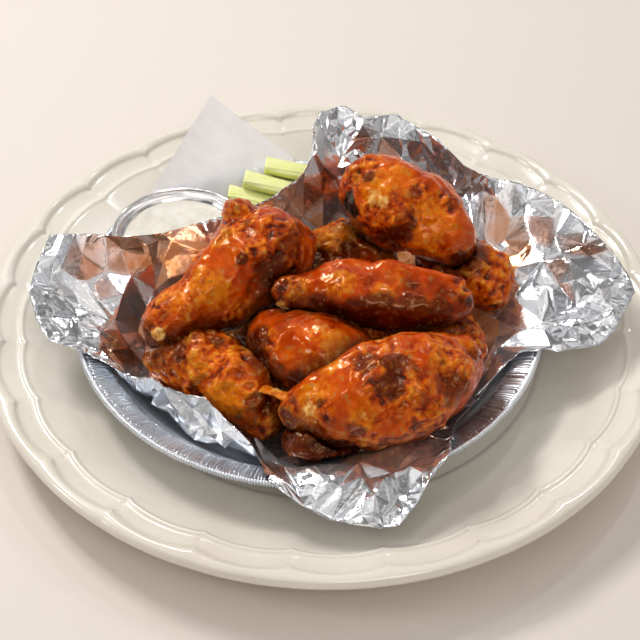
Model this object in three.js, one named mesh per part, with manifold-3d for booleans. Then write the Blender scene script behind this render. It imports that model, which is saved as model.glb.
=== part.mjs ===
// A serving of sauced chicken wings in a shallow aluminium pan lined with crumpled foil, on a
// scalloped plate. A foil cup of dip, three celery sticks and a corner of waxed paper stand in
// the pan behind the lining.
// Millimetres, +Z up. The origin is the centre of the plate's foot, on the table.
import * as THREE from "three";
import Module from "manifold-3d";
import { mergeVertices } from "three/addons/utils/BufferGeometryUtils.js";

const wasm = await Module();
wasm.setup();

// ---------------------------------------------------------------- driving dimensions

const GAP = 0.35;
const SKIN = 0.8;

const LOBES = 24;
const LOBE_PHASE = THREE.MathUtils.degToRad(10);
const PLATE_SIDES = 96;
const WELL_Z = 7;
// Radius, height and scallop depth of each ring of the plate: the face from the well outwards,
// then the underside from the lip back to the foot ring.
const PLATE_FACE = [
  { r: 90, z: WELL_Z, scallop: 0 },
  { r: 99, z: 8.2, scallop: 0 },
  { r: 114, z: 12.6, scallop: 0 },
  { r: 131, z: 18.8, scallop: 0.6 },
  { r: 137.4, z: 21.4, scallop: 2.4 },
  { r: 139.6, z: 20.2, scallop: 2.4 },
  { r: 144.6, z: 21.2, scallop: 1.4 },
  { r: 147.6, z: 24, scallop: 1.4 },
  { r: 149.8, z: 22.4, scallop: 0.8 },
  { r: 150, z: 19.4, scallop: 0.4 },
];
const PLATE_UNDERSIDE = [
  { r: 147, z: 17.4, scallop: 0 },
  { r: 127, z: 12.6, scallop: 0 },
  { r: 101, z: 4.4, scallop: 0 },
  { r: 91, z: 2.6, scallop: 0 },
  { r: 90, z: 0, scallop: 0 },
  { r: 84, z: 0, scallop: 0 },
  { r: 83, z: 2.4, scallop: 0 },
];

// A shallow round pan. The cup inside it pushes its back left side out, most at the pushed angle.
const PAN = { x: -6.7, y: -7.9, radius: 101.8, pushedAngle: 145, pushedHalfWidth: 40 };
const PAN_SIDES = 60;
const PAN_FLOOR_Z = WELL_Z + GAP + SKIN / 2;
// Each ring of the pan: its share of the pan's radius, that share where it is pushed out, and
// its height. The last two are the fluted lip.
const PAN_RINGS = [
  { share: 0.7, pushed: 0.87, z: PAN_FLOOR_Z },
  { share: 0.757, pushed: 0.93, z: 8.8 },
  { share: 0.885, pushed: 1, z: 25 },
  { share: 0.905, pushed: 1.01, z: 26.4 },
  { share: 0.985, pushed: 1.03, z: 30 },
  { share: 1, pushed: 1.036, z: 29.2 },
];
const PAN_RIM_TOP = 30.4;

// The foil's free edge, counter-clockwise from the tip of the left flap.
const FOIL_EDGE = [
  [-127, -15, 43], [-122, -29, 40], [-116, -39, 37], [-110, -39, 35], [-103, -41, 33.4],
  [-98, -44, 33], [-93, -46, 33], [-85, -52, 33], [-77, -57, 35], [-70, -61, 39], [-65, -64, 37],
  [-56, -68, 37], [-48, -68, 36], [-39, -77, 32], [-29, -85, 28], [-25, -96, 30],
  [-21, -109, 33.4], [-14, -116, 33], [-7, -120, 31], [3, -124, 28], [12, -125, 27],
  [22, -126, 26], [29, -125, 27], [36, -117, 29.6], [41, -108, 33], [50, -94, 33.4],
  [52, -84, 30.6], [53, -72, 24], [62, -60, 25], [70, -48, 26], [76, -42, 29.4], [82, -38, 33],
  [93, -36, 33.4], [98, -38, 33.6], [107, -35, 32.4], [117, -32, 32], [124, -25, 34],
  [130, -14, 36], [135, -5, 38], [133, 5, 40], [127, 17, 43], [119, 29, 45], [109, 44, 46],
  [98, 53, 47], [87, 58, 48], [78, 60, 48], [71, 63, 49], [64, 67, 50], [53, 78, 56],
  [41, 84, 60], [32, 89, 63], [17, 81, 66], [8, 86, 70], [-3, 80, 70], [-7, 69, 69],
  [-4, 61, 62], [-12, 53, 54], [-25, 39, 52], [-40, 26, 54], [-55, 19, 54], [-72, 12, 53],
  [-90, 13, 50], [-106, 16, 49], [-122, 16, 48], [-125, 0, 46],
];
// Where the foil stands up from the pan's floor: direction, distance from the pan's centre at
// the floor, then distance and height of the fold where it turns towards its free edge.
const FOIL_WALL = [
  { angle: -180, stand: 76, fold: 93.5, foldZ: 31.8 },
  { angle: -165, stand: 76, fold: 93.5, foldZ: 31.8 },
  { angle: -154, stand: 76, fold: 88.5, foldZ: 28.5 },
  { angle: -143, stand: 76, fold: 85, foldZ: 24 },
  { angle: -112, stand: 76, fold: 85, foldZ: 24 },
  { angle: -104, stand: 76, fold: 88, foldZ: 28 },
  { angle: -98, stand: 76, fold: 93.5, foldZ: 32 },
  { angle: -58, stand: 76, fold: 93.5, foldZ: 32 },
  { angle: -47, stand: 76, fold: 83.5, foldZ: 21 },
  { angle: -27, stand: 76, fold: 83.5, foldZ: 22 },
  { angle: -18, stand: 76, fold: 93.5, foldZ: 32 },
  { angle: 52, stand: 76, fold: 93.5, foldZ: 33 },
  { angle: 75, stand: 63, fold: 71, foldZ: 40 },
  { angle: 95, stand: 54, fold: 59, foldZ: 42 },
  { angle: 115, stand: 44, fold: 47, foldZ: 42 },
  { angle: 146, stand: 35, fold: 37.5, foldZ: 43 },
  { angle: 166, stand: 41, fold: 43.5, foldZ: 43 },
  { angle: 174, stand: 62, fold: 66, foldZ: 40 },
  { angle: 180, stand: 76, fold: 93.5, foldZ: 31.8 },
];
// The lining between those: how evenly its columns are spread at the floor and at the fold, how
// it lies on the floor, how it climbs the wall at two heights, and how a flap crosses the rim.
const FOIL = {
  longestStep: 13,
  floorEvening: 30,
  foldEvening: 6,
  floorLift: 0.1,
  floorShare: 0.6,
  bend: { inset: 2, widest: 72, lift: 0.3 },
  low: { z: 15, out: 3 },
  high: { z: 22, out: 4 },
  wallClear: 2.4,
  wallCreases: 1.6,
  crestShare: 0.38,
  rimLift: 1.6,
  rimCrumple: 1,
  flapRise: 1.5,
  crumple: 2.4,
  onRimFold: [86, 92],
  onRimReach: [0.97, 1.02],
};
// The space for food: how far it keeps from the lining, and how it widens above the free edge.
const HOLLOW = { clear: 0.25, brimSpread: 1.12, brimLift: 7, brimAboveRim: 2, flare: 1.3, roofZ: 130 };

const CUP = { x: -66.3, y: 33.6 };
const CUP_SIDES = 32;
const CUP_RINGS = [
  { r: 19.2, z: 10.2 },
  { r: 20.6, z: 11.2 },
  { r: 28.2, z: 31.6 },
  { r: 28.8, z: 34.6 },
  { r: 30.2, z: 36 },
  { r: 30.9, z: 35.2 },
];
const DIP_RINGS = [
  { r: 18, z: 11.2 },
  { r: 19.7, z: 12.3 },
  { r: 26.6, z: 30.8 },
  { r: 22, z: 31.1 },
  { r: 12, z: 30.5 },
];
const DIP_TOP_Z = 31;

// The waxed paper hangs over the pan's back rim between two directions and runs to a free corner.
const PAPER = {
  thickness: 0.5,
  corner: new THREE.Vector3(-58, 125.7, 46),
  columns: 8,
  inside: [
    { share: 0.815, z: 21, from: 97, to: 118 },
    { share: 0.93, z: 30, from: 95.5, to: 126 },
    { share: 1.005, z: 31.8, from: 95, to: 137 },
  ],
  outside: [0.25, 0.5, 0.75],
};

const STICK = { width: 10.5, height: 7.6, sides: 10, stations: 5, bow: 1.2, channel: 0.3 };
const STICKS = [
  { name: "celery_front", from: [-47, 69.5, 29.4], to: [4, 66.3, 18.6] },
  { name: "celery_middle", from: [-39.5, 75.2, 34], to: [9, 71.2, 24.4] },
  { name: "celery_back", from: [-29.6, 83.7, 35.6], to: [11, 79.4, 31.2] },
];

// Each wing: stations along it, as x, y, z, half width and half height, then round knobs of
// cartilage or skin, as x, y, z and radius. Earlier wings lie on top and press into later ones.
const WING_SIDES = 14;
const WING_STATIONS = 14;
const WING_END_BULGE = 0.45;
const WING_CLEAR = 0.15;
const KNOB_DETAIL = 2;
// The crust's crags: how far they stand out, and the height and spacing of its two sizes of lump.
const CRUST = { relief: 1.5, coarse: { height: 0.34, spacing: 4.2 }, fine: { height: 0.22, spacing: 2.3 } };
const WINGS = [
  {
    name: "wing_centre",
    stations: [
      [-20, -23, 51, 5, 5.5], [-12, -24, 52, 8, 7.5], [3, -25, 54, 13, 11], [20, -27, 55, 16, 12.5],
      [40, -28, 54, 14, 11.5], [53, -29, 53, 9.5, 8.5], [60, -29, 51, 5, 5],
    ],
    knobs: [],
  },
  {
    name: "wing_left",
    stations: [
      [-72, -39, 41, 9, 9], [-65, -34, 43, 12.5, 12.5], [-53, -25, 45, 14, 14.5], [-40, -13, 49, 17.5, 18],
      [-27, -1, 52, 21.5, 22], [-15, 5, 50, 16, 17], [-8, 9, 48, 8, 9],
    ],
    knobs: [[-37, 10, 66, 7.5]],
  },
  {
    name: "wing_back",
    stations: [
      [11, 35, 63, 10, 10], [18, 31, 64, 16, 16.5], [29, 24, 62, 21, 18.5], [43, 18, 59, 20, 17],
      [54, 10, 54, 14, 13], [61, 4, 50, 7, 7],
    ],
    knobs: [],
  },
  {
    name: "wing_front",
    stations: [
      [-15, -77, 34, 7, 8], [-8, -77, 37, 11, 13], [8, -78, 42, 18, 19], [27, -73, 46, 22, 22.5],
      [44, -63, 45, 19, 18.5], [55, -54, 42, 13, 12.5], [61, -49, 41, 7, 7],
    ],
    knobs: [],
  },
  {
    name: "wing_middle",
    stations: [
      [-30, -35, 35, 8, 9], [-22, -38, 38, 13, 13], [-7, -47, 41, 18.5, 16], [9, -55, 41, 18, 15],
      [21, -61, 38, 10, 10],
    ],
    knobs: [],
  },
  {
    name: "wing_front_left",
    stations: [
      [-73, -40, 26, 8, 9], [-64, -41, 28, 13, 14], [-50, -46, 31, 16.5, 16.5], [-37, -55, 29, 17, 17],
      [-27, -64, 25, 13, 13], [-20, -70, 21, 8, 8],
    ],
    knobs: [],
  },
  {
    name: "wing_back_right",
    stations: [
      [46, 24, 28, 10, 10], [58, 17, 33, 15, 14], [67, 7, 37, 15, 14], [72, -3, 35, 11, 11],
      [74, -9, 33, 6, 6],
    ],
    knobs: [],
  },
  {
    name: "wing_back_small",
    stations: [
      [-38, -13, 20, 8, 8], [-26, -5, 23, 13, 12], [-8, 9, 28, 15, 14], [8, 22, 36, 15, 14],
      [22, 17, 37, 12, 12], [29, 13, 36, 6, 6],
    ],
    knobs: [],
  },
  {
    name: "wing_right_low",
    stations: [
      [20, -13, 21, 10, 10], [34, -19, 24, 15, 14], [47, -26, 29, 15, 14], [57, -33, 32, 12, 12],
      [63, -40, 31, 7, 7],
    ],
    knobs: [],
  },
  {
    name: "wing_front_low",
    stations: [
      [12, -29, 19, 8, 8], [8, -49, 22, 14, 12], [3, -70, 23, 15, 13], [-1, -85, 27, 16, 14],
      [0, -95, 25, 10, 10],
    ],
    knobs: [],
  },
];

const FINISH = {
  plate: { color: 0xe8e1d2, roughness: 0.25, metalness: 0 },
  aluminium: { color: 0xc9cbce, roughness: 0.28, metalness: 1 },
  wing: { color: 0xb4530f, roughness: 0.3, metalness: 0 },
  dip: { color: 0xf0eee2, roughness: 0.45, metalness: 0 },
  paper: { color: 0xe9ebe6, roughness: 0.6, metalness: 0 },
  celery: { color: 0xcfe08a, roughness: 0.45, metalness: 0 },
};

// ---------------------------------------------------------------- small helpers

/** A repeatable stream of numbers from 0 to 1. */
function seededRandom(seed) {
  let state = seed >>> 0;
  return () => {
    state = (state + 0x6d2b79f5) >>> 0;
    let mixed = Math.imul(state ^ (state >>> 15), state | 1);
    mixed ^= mixed + Math.imul(mixed ^ (mixed >>> 7), mixed | 61);
    return ((mixed ^ (mixed >>> 14)) >>> 0) / 4294967296;
  };
}

/** The value of y at x on the straight pieces between the points [x, y]. */
function interpolate(points, x) {
  if (x <= points[0][0]) return points[0][1];
  for (let i = 1; i < points.length; i += 1) {
    const [x0, y0] = points[i - 1];
    const [x1, y1] = points[i];
    if (x <= x1) return y0 + ((y1 - y0) * (x - x0)) / (x1 - x0);
  }
  return points.at(-1)[1];
}

function geometryOf(points, faces) {
  const geometry = new THREE.BufferGeometry();
  const position = new Float32Array(points.flatMap((p) => [p.x, p.y, p.z]));
  geometry.setAttribute("position", new THREE.BufferAttribute(position, 3));
  geometry.setIndex(faces.flat());
  return geometry;
}

/** Six times the signed volume; negative where the faces point in. */
function signedVolume(points, faces) {
  const cross = new THREE.Vector3();
  let total = 0;
  for (const [a, b, c] of faces) total += points[a].dot(cross.crossVectors(points[b], points[c]));
  return total;
}

function facingOut(points, faces) {
  if (signedVolume(points, faces) > 0) return faces;
  return faces.map(([a, b, c]) => [a, c, b]);
}

/** A closed body through rings of equal or halved point counts, with a centre point at each end. */
function ringSolid(rings, firstCentre, lastCentre) {
  const points = [firstCentre, ...rings.flat(), lastCentre];
  const faces = [];
  const starts = [];
  let start = 1;
  for (const ring of rings) {
    starts.push(start);
    start += ring.length;
  }
  const fan = (centre, first, count, flip) => {
    for (let i = 0; i < count; i += 1) {
      const a = first + i;
      const b = first + ((i + 1) % count);
      faces.push(flip ? [centre, b, a] : [centre, a, b]);
    }
  };
  fan(0, starts[0], rings[0].length, false);
  for (let k = 0; k + 1 < rings.length; k += 1) {
    const n = rings[k].length;
    const m = rings[k + 1].length;
    const steps = Math.max(n, m);
    for (let i = 0; i < steps; i += 1) {
      const a0 = starts[k] + Math.floor((i * n) / steps);
      const a1 = starts[k] + (Math.floor(((i + 1) * n) / steps) % n);
      const b0 = starts[k + 1] + Math.floor((i * m) / steps);
      const b1 = starts[k + 1] + (Math.floor(((i + 1) * m) / steps) % m);
      if (b0 !== b1) faces.push([a0, b0, b1]);
      if (a0 !== a1) faces.push([a0, b1, a1]);
    }
  }
  fan(points.length - 1, starts.at(-1), rings.at(-1).length, true);
  return geometryOf(points, facingOut(points, faces));
}

/** The faces of a sheet that runs from a centre point out through rings of equal length. */
function sheetFaces(ringCount, sides) {
  const faces = [];
  for (let i = 0; i < sides; i += 1) faces.push([0, 1 + i, 1 + ((i + 1) % sides)]);
  for (let k = 0; k + 1 < ringCount; k += 1) {
    for (let i = 0; i < sides; i += 1) {
      const a = 1 + k * sides + i;
      const b = 1 + k * sides + ((i + 1) % sides);
      const c = a + sides;
      const d = b + sides;
      if ((i + k) % 2) faces.push([a, c, d], [a, d, b]);
      else faces.push([a, c, b], [b, c, d]);
    }
  }
  return faces;
}

/** A thin closed body on both sides of a sheet, each face split in the same way. */
function thicken(points, faces, thickness) {
  const sheet = geometryOf(points, faces);
  sheet.computeVertexNormals();
  const normal = sheet.getAttribute("normal");
  const count = points.length;
  const offset = (side) =>
    points.map((p, i) => p.clone().addScaledVector(
      new THREE.Vector3().fromBufferAttribute(normal, i), (side * thickness) / 2));
  const body = [...offset(1), ...offset(-1)];
  const shell = [];
  const border = new Map();
  for (const [a, b, c] of faces) {
    shell.push([a, b, c], [a + count, c + count, b + count]);
    for (const [p, q] of [[a, b], [b, c], [c, a]]) {
      if (!border.delete(`${q},${p}`)) border.set(`${p},${q}`, [p, q]);
    }
  }
  for (const [p, q] of border.values()) shell.push([p, p + count, q], [q, p + count, q + count]);
  return geometryOf(body, facingOut(body, shell));
}

/** The closed solid of a geometry, for joining and cutting. */
function solidOf(geometry) {
  const bare = geometry.clone();
  bare.deleteAttribute("normal");
  bare.deleteAttribute("uv");
  const merged = mergeVertices(bare, 1e-4);
  return new wasm.Manifold(new wasm.Mesh({
    numProp: 3,
    vertProperties: new Float32Array(merged.getAttribute("position").array),
    triVerts: new Uint32Array(merged.getIndex().array),
  }));
}

function geometryFrom(solid) {
  const mesh = solid.getMesh();
  const geometry = new THREE.BufferGeometry();
  geometry.setAttribute("position", new THREE.BufferAttribute(new Float32Array(mesh.vertProperties), 3));
  geometry.setIndex([...mesh.triVerts]);
  return geometry;
}

/** The largest piece of a solid, without the scraps that a cut leaves. */
function largestPiece(solid) {
  return solid.decompose().reduce((best, piece) => (piece.volume() > best.volume() ? piece : best));
}

// ---------------------------------------------------------------- plate

function plateRing({ r, z, scallop }) {
  const sides = scallop ? PLATE_SIDES : PLATE_SIDES / 2;
  return Array.from({ length: sides }, (_, i) => {
    const angle = LOBE_PHASE + (i / sides) * Math.PI * 2;
    const bulge = Math.abs(Math.sin((LOBES / 2) * (angle - LOBE_PHASE)));
    const radius = r - scallop * (1 - bulge);
    return new THREE.Vector3(radius * Math.cos(angle), radius * Math.sin(angle), z);
  });
}

function plateGeometry() {
  const rings = [...PLATE_FACE, ...PLATE_UNDERSIDE].map(plateRing);
  return ringSolid(rings, new THREE.Vector3(0, 0, WELL_Z),
    new THREE.Vector3(0, 0, PLATE_UNDERSIDE.at(-1).z));
}

// ---------------------------------------------------------------- pan

/** How far the cup pushes the pan's wall out in a direction, from 0 to 1. */
function pushedOut(angle) {
  const away = Math.abs(THREE.MathUtils.euclideanModulo(
    THREE.MathUtils.radToDeg(angle) - PAN.pushedAngle + 180, 360) - 180);
  if (away >= PAN.pushedHalfWidth) return 0;
  return Math.cos((Math.PI / 2) * (away / PAN.pushedHalfWidth)) ** 2;
}

function panPoint(angle, radius, z) {
  return new THREE.Vector3(PAN.x + radius * Math.cos(angle), PAN.y + radius * Math.sin(angle), z);
}

/** Radius of one of the pan's rings in a direction. */
function panRingRadius({ share, pushed }, angle) {
  return PAN.radius * THREE.MathUtils.lerp(share, pushed, pushedOut(angle));
}

function panGeometry() {
  const rings = PAN_RINGS.map((ring) =>
    Array.from({ length: PAN_SIDES }, (_, i) => {
      const angle = (i / PAN_SIDES) * Math.PI * 2;
      return panPoint(angle, panRingRadius(ring, angle), ring.z);
    }));
  const points = [new THREE.Vector3(PAN.x, PAN.y, PAN_FLOOR_Z), ...rings.flat()];
  return thicken(points, sheetFaces(rings.length, PAN_SIDES), SKIN);
}

/** Radius of the middle of the pan's wall at a height, in a direction. */
function panWall(angle, z) {
  return interpolate(PAN_RINGS.slice(1, 5).map((ring) => [ring.z, panRingRadius(ring, angle)]), z);
}

// ---------------------------------------------------------------- foil

/** The free edge with its long sides divided into steps. */
function foilEdgePoints() {
  const corners = FOIL_EDGE.map((p) => new THREE.Vector3(...p));
  return corners.flatMap((corner, i) => {
    const next = corners[(i + 1) % corners.length];
    const steps = Math.max(1, Math.round(corner.distanceTo(next) / FOIL.longestStep));
    return Array.from({ length: steps }, (_, k) => corner.clone().lerp(next, k / steps));
  });
}

/** Directions of the edge points from the pan's centre, evened out by a number of passes. */
function evenedAngles(edge, passes) {
  let angles = [];
  let previous = -Math.PI;
  for (const p of edge) {
    const raw = Math.atan2(p.y - PAN.y, p.x - PAN.x);
    const turn = THREE.MathUtils.euclideanModulo(raw - previous + Math.PI, Math.PI * 2) - Math.PI;
    previous += turn;
    angles.push(previous);
  }
  const n = angles.length;
  const at = (list, i) => list[THREE.MathUtils.euclideanModulo(i, n)] + Math.floor(i / n) * Math.PI * 2;
  for (let pass = 0; pass < passes; pass += 1) {
    angles = angles.map((angle, i) => (at(angles, i - 1) + angle * 2 + at(angles, i + 1)) / 4);
  }
  return angles;
}

/** One measure of the foil's wall in a direction. */
function foilWall(angle, measure) {
  const degrees = THREE.MathUtils.euclideanModulo(THREE.MathUtils.radToDeg(angle) + 180, 360) - 180;
  return interpolate(FOIL_WALL.map((row) => [row.angle, row[measure]]), degrees);
}

/** How far a direction's flap lies over the pan's rim, from 0 to 1. */
function overRim(angle, tip) {
  const reach = Math.hypot(tip.x - PAN.x, tip.y - PAN.y) / PAN.radius;
  return THREE.MathUtils.smoothstep(foilWall(angle, "fold"), ...FOIL.onRimFold)
    * THREE.MathUtils.smoothstep(reach, ...FOIL.onRimReach);
}

/** The rings of the foil's middle surface, from the pan's floor out to the free edge. */
function foilRings() {
  const random = seededRandom(11);
  const wander = (size) => (random() - 0.5) * 2 * size;
  const edge = foilEdgePoints();
  const base = evenedAngles(edge, FOIL.floorEvening);
  const shoulder = evenedAngles(edge, FOIL.foldEvening);
  const floorZ = PAN_FLOOR_Z + SKIN + GAP + FOIL.floorLift;
  const columns = edge.map((tip, i) => {
    const stand = foilWall(base[i], "stand");
    const inWall = ({ z, out }) => {
      const widest = panWall(base[i], z) - FOIL.wallClear;
      return panPoint(base[i], Math.min(stand + out, widest) - random() * FOIL.wallCreases, z);
    };
    const fold = panPoint(shoulder[i], foilWall(shoulder[i], "fold"), foilWall(shoulder[i], "foldZ"));
    const onRim = overRim(shoulder[i], tip);
    const rimZ = PAN_RIM_TOP + FOIL.rimLift + random() * FOIL.rimCrumple;
    const rim = panPoint(shoulder[i], PAN.radius, rimZ);
    const crest = fold.clone().lerp(tip, FOIL.crestShare).lerp(rim, onRim);
    const middle = crest.clone().lerp(tip, 0.5);
    middle.z += onRim * FOIL.flapRise + wander(FOIL.crumple) * (onRim ? 1 : 0.5);
    middle.x += wander(FOIL.crumple) / 2;
    middle.y += wander(FOIL.crumple) / 2;
    return [
      panPoint(base[i], stand * FOIL.floorShare, floorZ),
      panPoint(base[i], Math.min(stand - FOIL.bend.inset, FOIL.bend.widest), floorZ + FOIL.bend.lift),
      inWall(FOIL.low),
      inWall(FOIL.high),
      fold,
      crest,
      middle,
      tip,
    ];
  });
  return columns[0].map((_, k) => columns.map((column) => column[k]));
}

function foilGeometry(rings, thickness) {
  const points = [new THREE.Vector3(PAN.x, PAN.y, rings[0][0].z), ...rings.flat()];
  return thicken(points, sheetFaces(rings.length, rings[0].length), thickness);
}

/** All the space inside and above the foil, clear of it by the gap. */
function foilHollow(rings) {
  const shrink = SKIN / 2 + GAP + HOLLOW.clear;
  const lifted = rings.map((ring) => ring.map((p) => {
    const inward = new THREE.Vector3(PAN.x - p.x, PAN.y - p.y, 0).normalize();
    const point = p.clone().addScaledVector(inward, shrink);
    point.z += shrink;
    return point;
  }));
  const spread = (p, times, z) => new THREE.Vector3(
    PAN.x + (p.x - PAN.x) * times, PAN.y + (p.y - PAN.y) * times, z);
  const lowestBrim = PAN_RIM_TOP + HOLLOW.brimAboveRim;
  const brim = lifted.at(-1).map((p) =>
    spread(p, HOLLOW.brimSpread, Math.max(p.z + HOLLOW.brimLift, lowestBrim)));
  const flared = brim.map((p) => spread(p, HOLLOW.flare, p.z));
  const roof = flared.map((p) => spread(p, 1, HOLLOW.roofZ));
  return ringSolid([...lifted, brim, flared, roof],
    new THREE.Vector3(PAN.x, PAN.y, lifted[0][0].z),
    new THREE.Vector3(PAN.x, PAN.y, HOLLOW.roofZ));
}

// ---------------------------------------------------------------- wings

/** Crags of the crust: a smooth rise and fall over the wing's surface, from about -1 to 1. */
function crags(p, phase) {
  const wave = (x, y, z, { height, spacing }) =>
    height * (Math.sin((x + z / 2) / spacing + phase) * Math.cos((y - z / 2) / spacing - phase)
      + Math.sin((z - x / 3) / spacing + phase * 2));
  return wave(p.x, p.y, p.z, CRUST.coarse) + wave(p.y, p.z, p.x, CRUST.fine);
}

function wingSolid({ stations, knobs }, index, grow) {
  const path = new THREE.CatmullRomCurve3(stations.map(([x, y, z]) => new THREE.Vector3(x, y, z)));
  const girth = new THREE.CatmullRomCurve3(stations.map(([, , , a, b]) => new THREE.Vector3(a, b, 0)));
  const up = new THREE.Vector3(0, 0, 1);
  const rings = Array.from({ length: WING_STATIONS }, (_, k) => {
    const t = k / (WING_STATIONS - 1);
    const centre = path.getPoint(t);
    const along = path.getTangent(t);
    const side = new THREE.Vector3().crossVectors(along, up).normalize();
    const rise = new THREE.Vector3().crossVectors(side, along);
    const { x: halfWidth, y: halfHeight } = girth.getPoint(t);
    return Array.from({ length: WING_SIDES }, (_unused, i) => {
      const angle = ((i + (k % 2) / 2) / WING_SIDES) * Math.PI * 2;
      const spoke = new THREE.Vector3()
        .addScaledVector(side, Math.cos(angle) * halfWidth)
        .addScaledVector(rise, Math.sin(angle) * halfHeight);
      const point = centre.clone().add(spoke);
      const swell = CRUST.relief * crags(point, index) + grow;
      return point.addScaledVector(spoke.normalize(), swell);
    });
  });
  const endPoint = (t, sign) => {
    const size = girth.getPoint(t);
    const bulge = Math.min(size.x, size.y) * WING_END_BULGE + grow;
    return path.getPoint(t).addScaledVector(path.getTangent(t), sign * bulge);
  };
  let body = solidOf(ringSolid(rings, endPoint(0, -1), endPoint(1, 1)));
  for (const [x, y, z, radius] of knobs) {
    const knob = new THREE.IcosahedronGeometry(radius + grow, KNOB_DETAIL).translate(x, y, z);
    body = body.add(solidOf(knob));
  }
  return body;
}

/** Every wing, cut clear of the foil and of the wings that lie on it. */
function wingGeometries(rings) {
  const hollow = solidOf(foilHollow(rings));
  const foilAndGap = solidOf(foilGeometry(rings, SKIN + 2 * GAP));
  const above = [];
  return WINGS.map((wing, index) => {
    let body = wingSolid(wing, index, 0).intersect(hollow).subtract(foilAndGap);
    for (const other of above) body = body.subtract(other);
    above.push(wingSolid(wing, index, GAP + WING_CLEAR));
    return { name: wing.name, geometry: geometryFrom(largestPiece(body)) };
  });
}

// ---------------------------------------------------------------- cup, dip, celery, paper

function roundRing({ r, z }) {
  return Array.from({ length: CUP_SIDES }, (_, i) => {
    const angle = (i / CUP_SIDES) * Math.PI * 2;
    return new THREE.Vector3(CUP.x + r * Math.cos(angle), CUP.y + r * Math.sin(angle), z);
  });
}

function cupGeometry() {
  const points = [new THREE.Vector3(CUP.x, CUP.y, CUP_RINGS[0].z), ...CUP_RINGS.map(roundRing).flat()];
  return thicken(points, sheetFaces(CUP_RINGS.length, CUP_SIDES), SKIN);
}

function dipGeometry() {
  return ringSolid(DIP_RINGS.map(roundRing), new THREE.Vector3(CUP.x, CUP.y, DIP_RINGS[0].z),
    new THREE.Vector3(CUP.x, CUP.y, DIP_TOP_Z));
}

/** A baton cut from a celery stalk: domed below, with a shallow channel on top. */
function stickGeometry({ from, to }) {
  const start = new THREE.Vector3(...from);
  const end = new THREE.Vector3(...to);
  const along = end.clone().sub(start).normalize();
  const side = new THREE.Vector3().crossVectors(along, new THREE.Vector3(0, 0, 1)).normalize();
  const rise = new THREE.Vector3().crossVectors(side, along);
  const rings = Array.from({ length: STICK.stations }, (_, k) => {
    const t = k / (STICK.stations - 1);
    const centre = start.clone().lerp(end, t).addScaledVector(side, STICK.bow * Math.sin(Math.PI * t));
    return Array.from({ length: STICK.sides }, (_unused, i) => {
      const angle = ((i + 0.5) / STICK.sides) * Math.PI * 2;
      const channel = Math.max(0, Math.sin(angle)) ** 3 * STICK.channel;
      return centre.clone()
        .addScaledVector(side, (Math.cos(angle) * STICK.width) / 2)
        .addScaledVector(rise, (Math.sin(angle) * STICK.height * (1 - channel)) / 2);
    });
  });
  return ringSolid(rings, start, end);
}

/** The waxed paper: rows across it inside the pan and on its rim, then out to the free corner. */
function paperGeometry() {
  const { corner, columns, inside, outside } = PAPER;
  const rows = inside.map(({ share, z, from, to }) =>
    Array.from({ length: columns + 1 }, (_, j) => {
      const angle = THREE.MathUtils.degToRad(THREE.MathUtils.lerp(from, to, j / columns));
      const widest = panRingRadius(PAN_RINGS.at(-1), angle);
      return panPoint(angle, share * widest, z);
    }));
  const rim = rows.at(-1);
  for (const part of outside) rows.push(rim.map((p) => p.clone().lerp(corner, part)));
  const width = columns + 1;
  const points = [...rows.flat(), corner];
  const faces = [];
  for (let k = 0; k + 1 < rows.length; k += 1) {
    for (let j = 0; j < columns; j += 1) {
      const a = k * width + j;
      faces.push([a, a + width, a + 1], [a + 1, a + width, a + width + 1]);
    }
  }
  const last = (rows.length - 1) * width;
  for (let j = 0; j < columns; j += 1) faces.push([last + j, points.length - 1, last + j + 1]);
  return thicken(points, faces, PAPER.thickness);
}

// ---------------------------------------------------------------- assembly

const group = new THREE.Group();

function addPiece(name, geometry, finish) {
  const mesh = new THREE.Mesh(geometry, new THREE.MeshStandardMaterial(finish));
  mesh.name = name;
  group.add(mesh);
}

const foil = foilRings();

addPiece("plate", plateGeometry(), FINISH.plate);
addPiece("pan", panGeometry(), FINISH.aluminium);
addPiece("foil", foilGeometry(foil, SKIN), FINISH.aluminium);
for (const { name, geometry } of wingGeometries(foil)) {
  addPiece(name, geometry, FINISH.wing);
}
addPiece("dip_cup", cupGeometry(), FINISH.aluminium);
addPiece("dip", dipGeometry(), FINISH.dip);
addPiece("wax_paper", paperGeometry(), FINISH.paper);
for (const stick of STICKS) addPiece(stick.name, stickGeometry(stick), FINISH.celery);

export default group;
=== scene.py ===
"""Sauced chicken wings in a foil-lined pan on a scalloped plate, dressed over the CAD frame.

The script works in millimetres and makes its Blender meshes in metres. Every piece takes its place
and main form from the CAD node that it replaces, and adds the fine surface.
"""
import itertools
import math
import bmesh
import bpy
import numpy as np
from mathutils import Matrix, Vector
from mathutils.bvhtree import BVHTree
from mathutils.geometry import delaunay_2d_cdt


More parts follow.
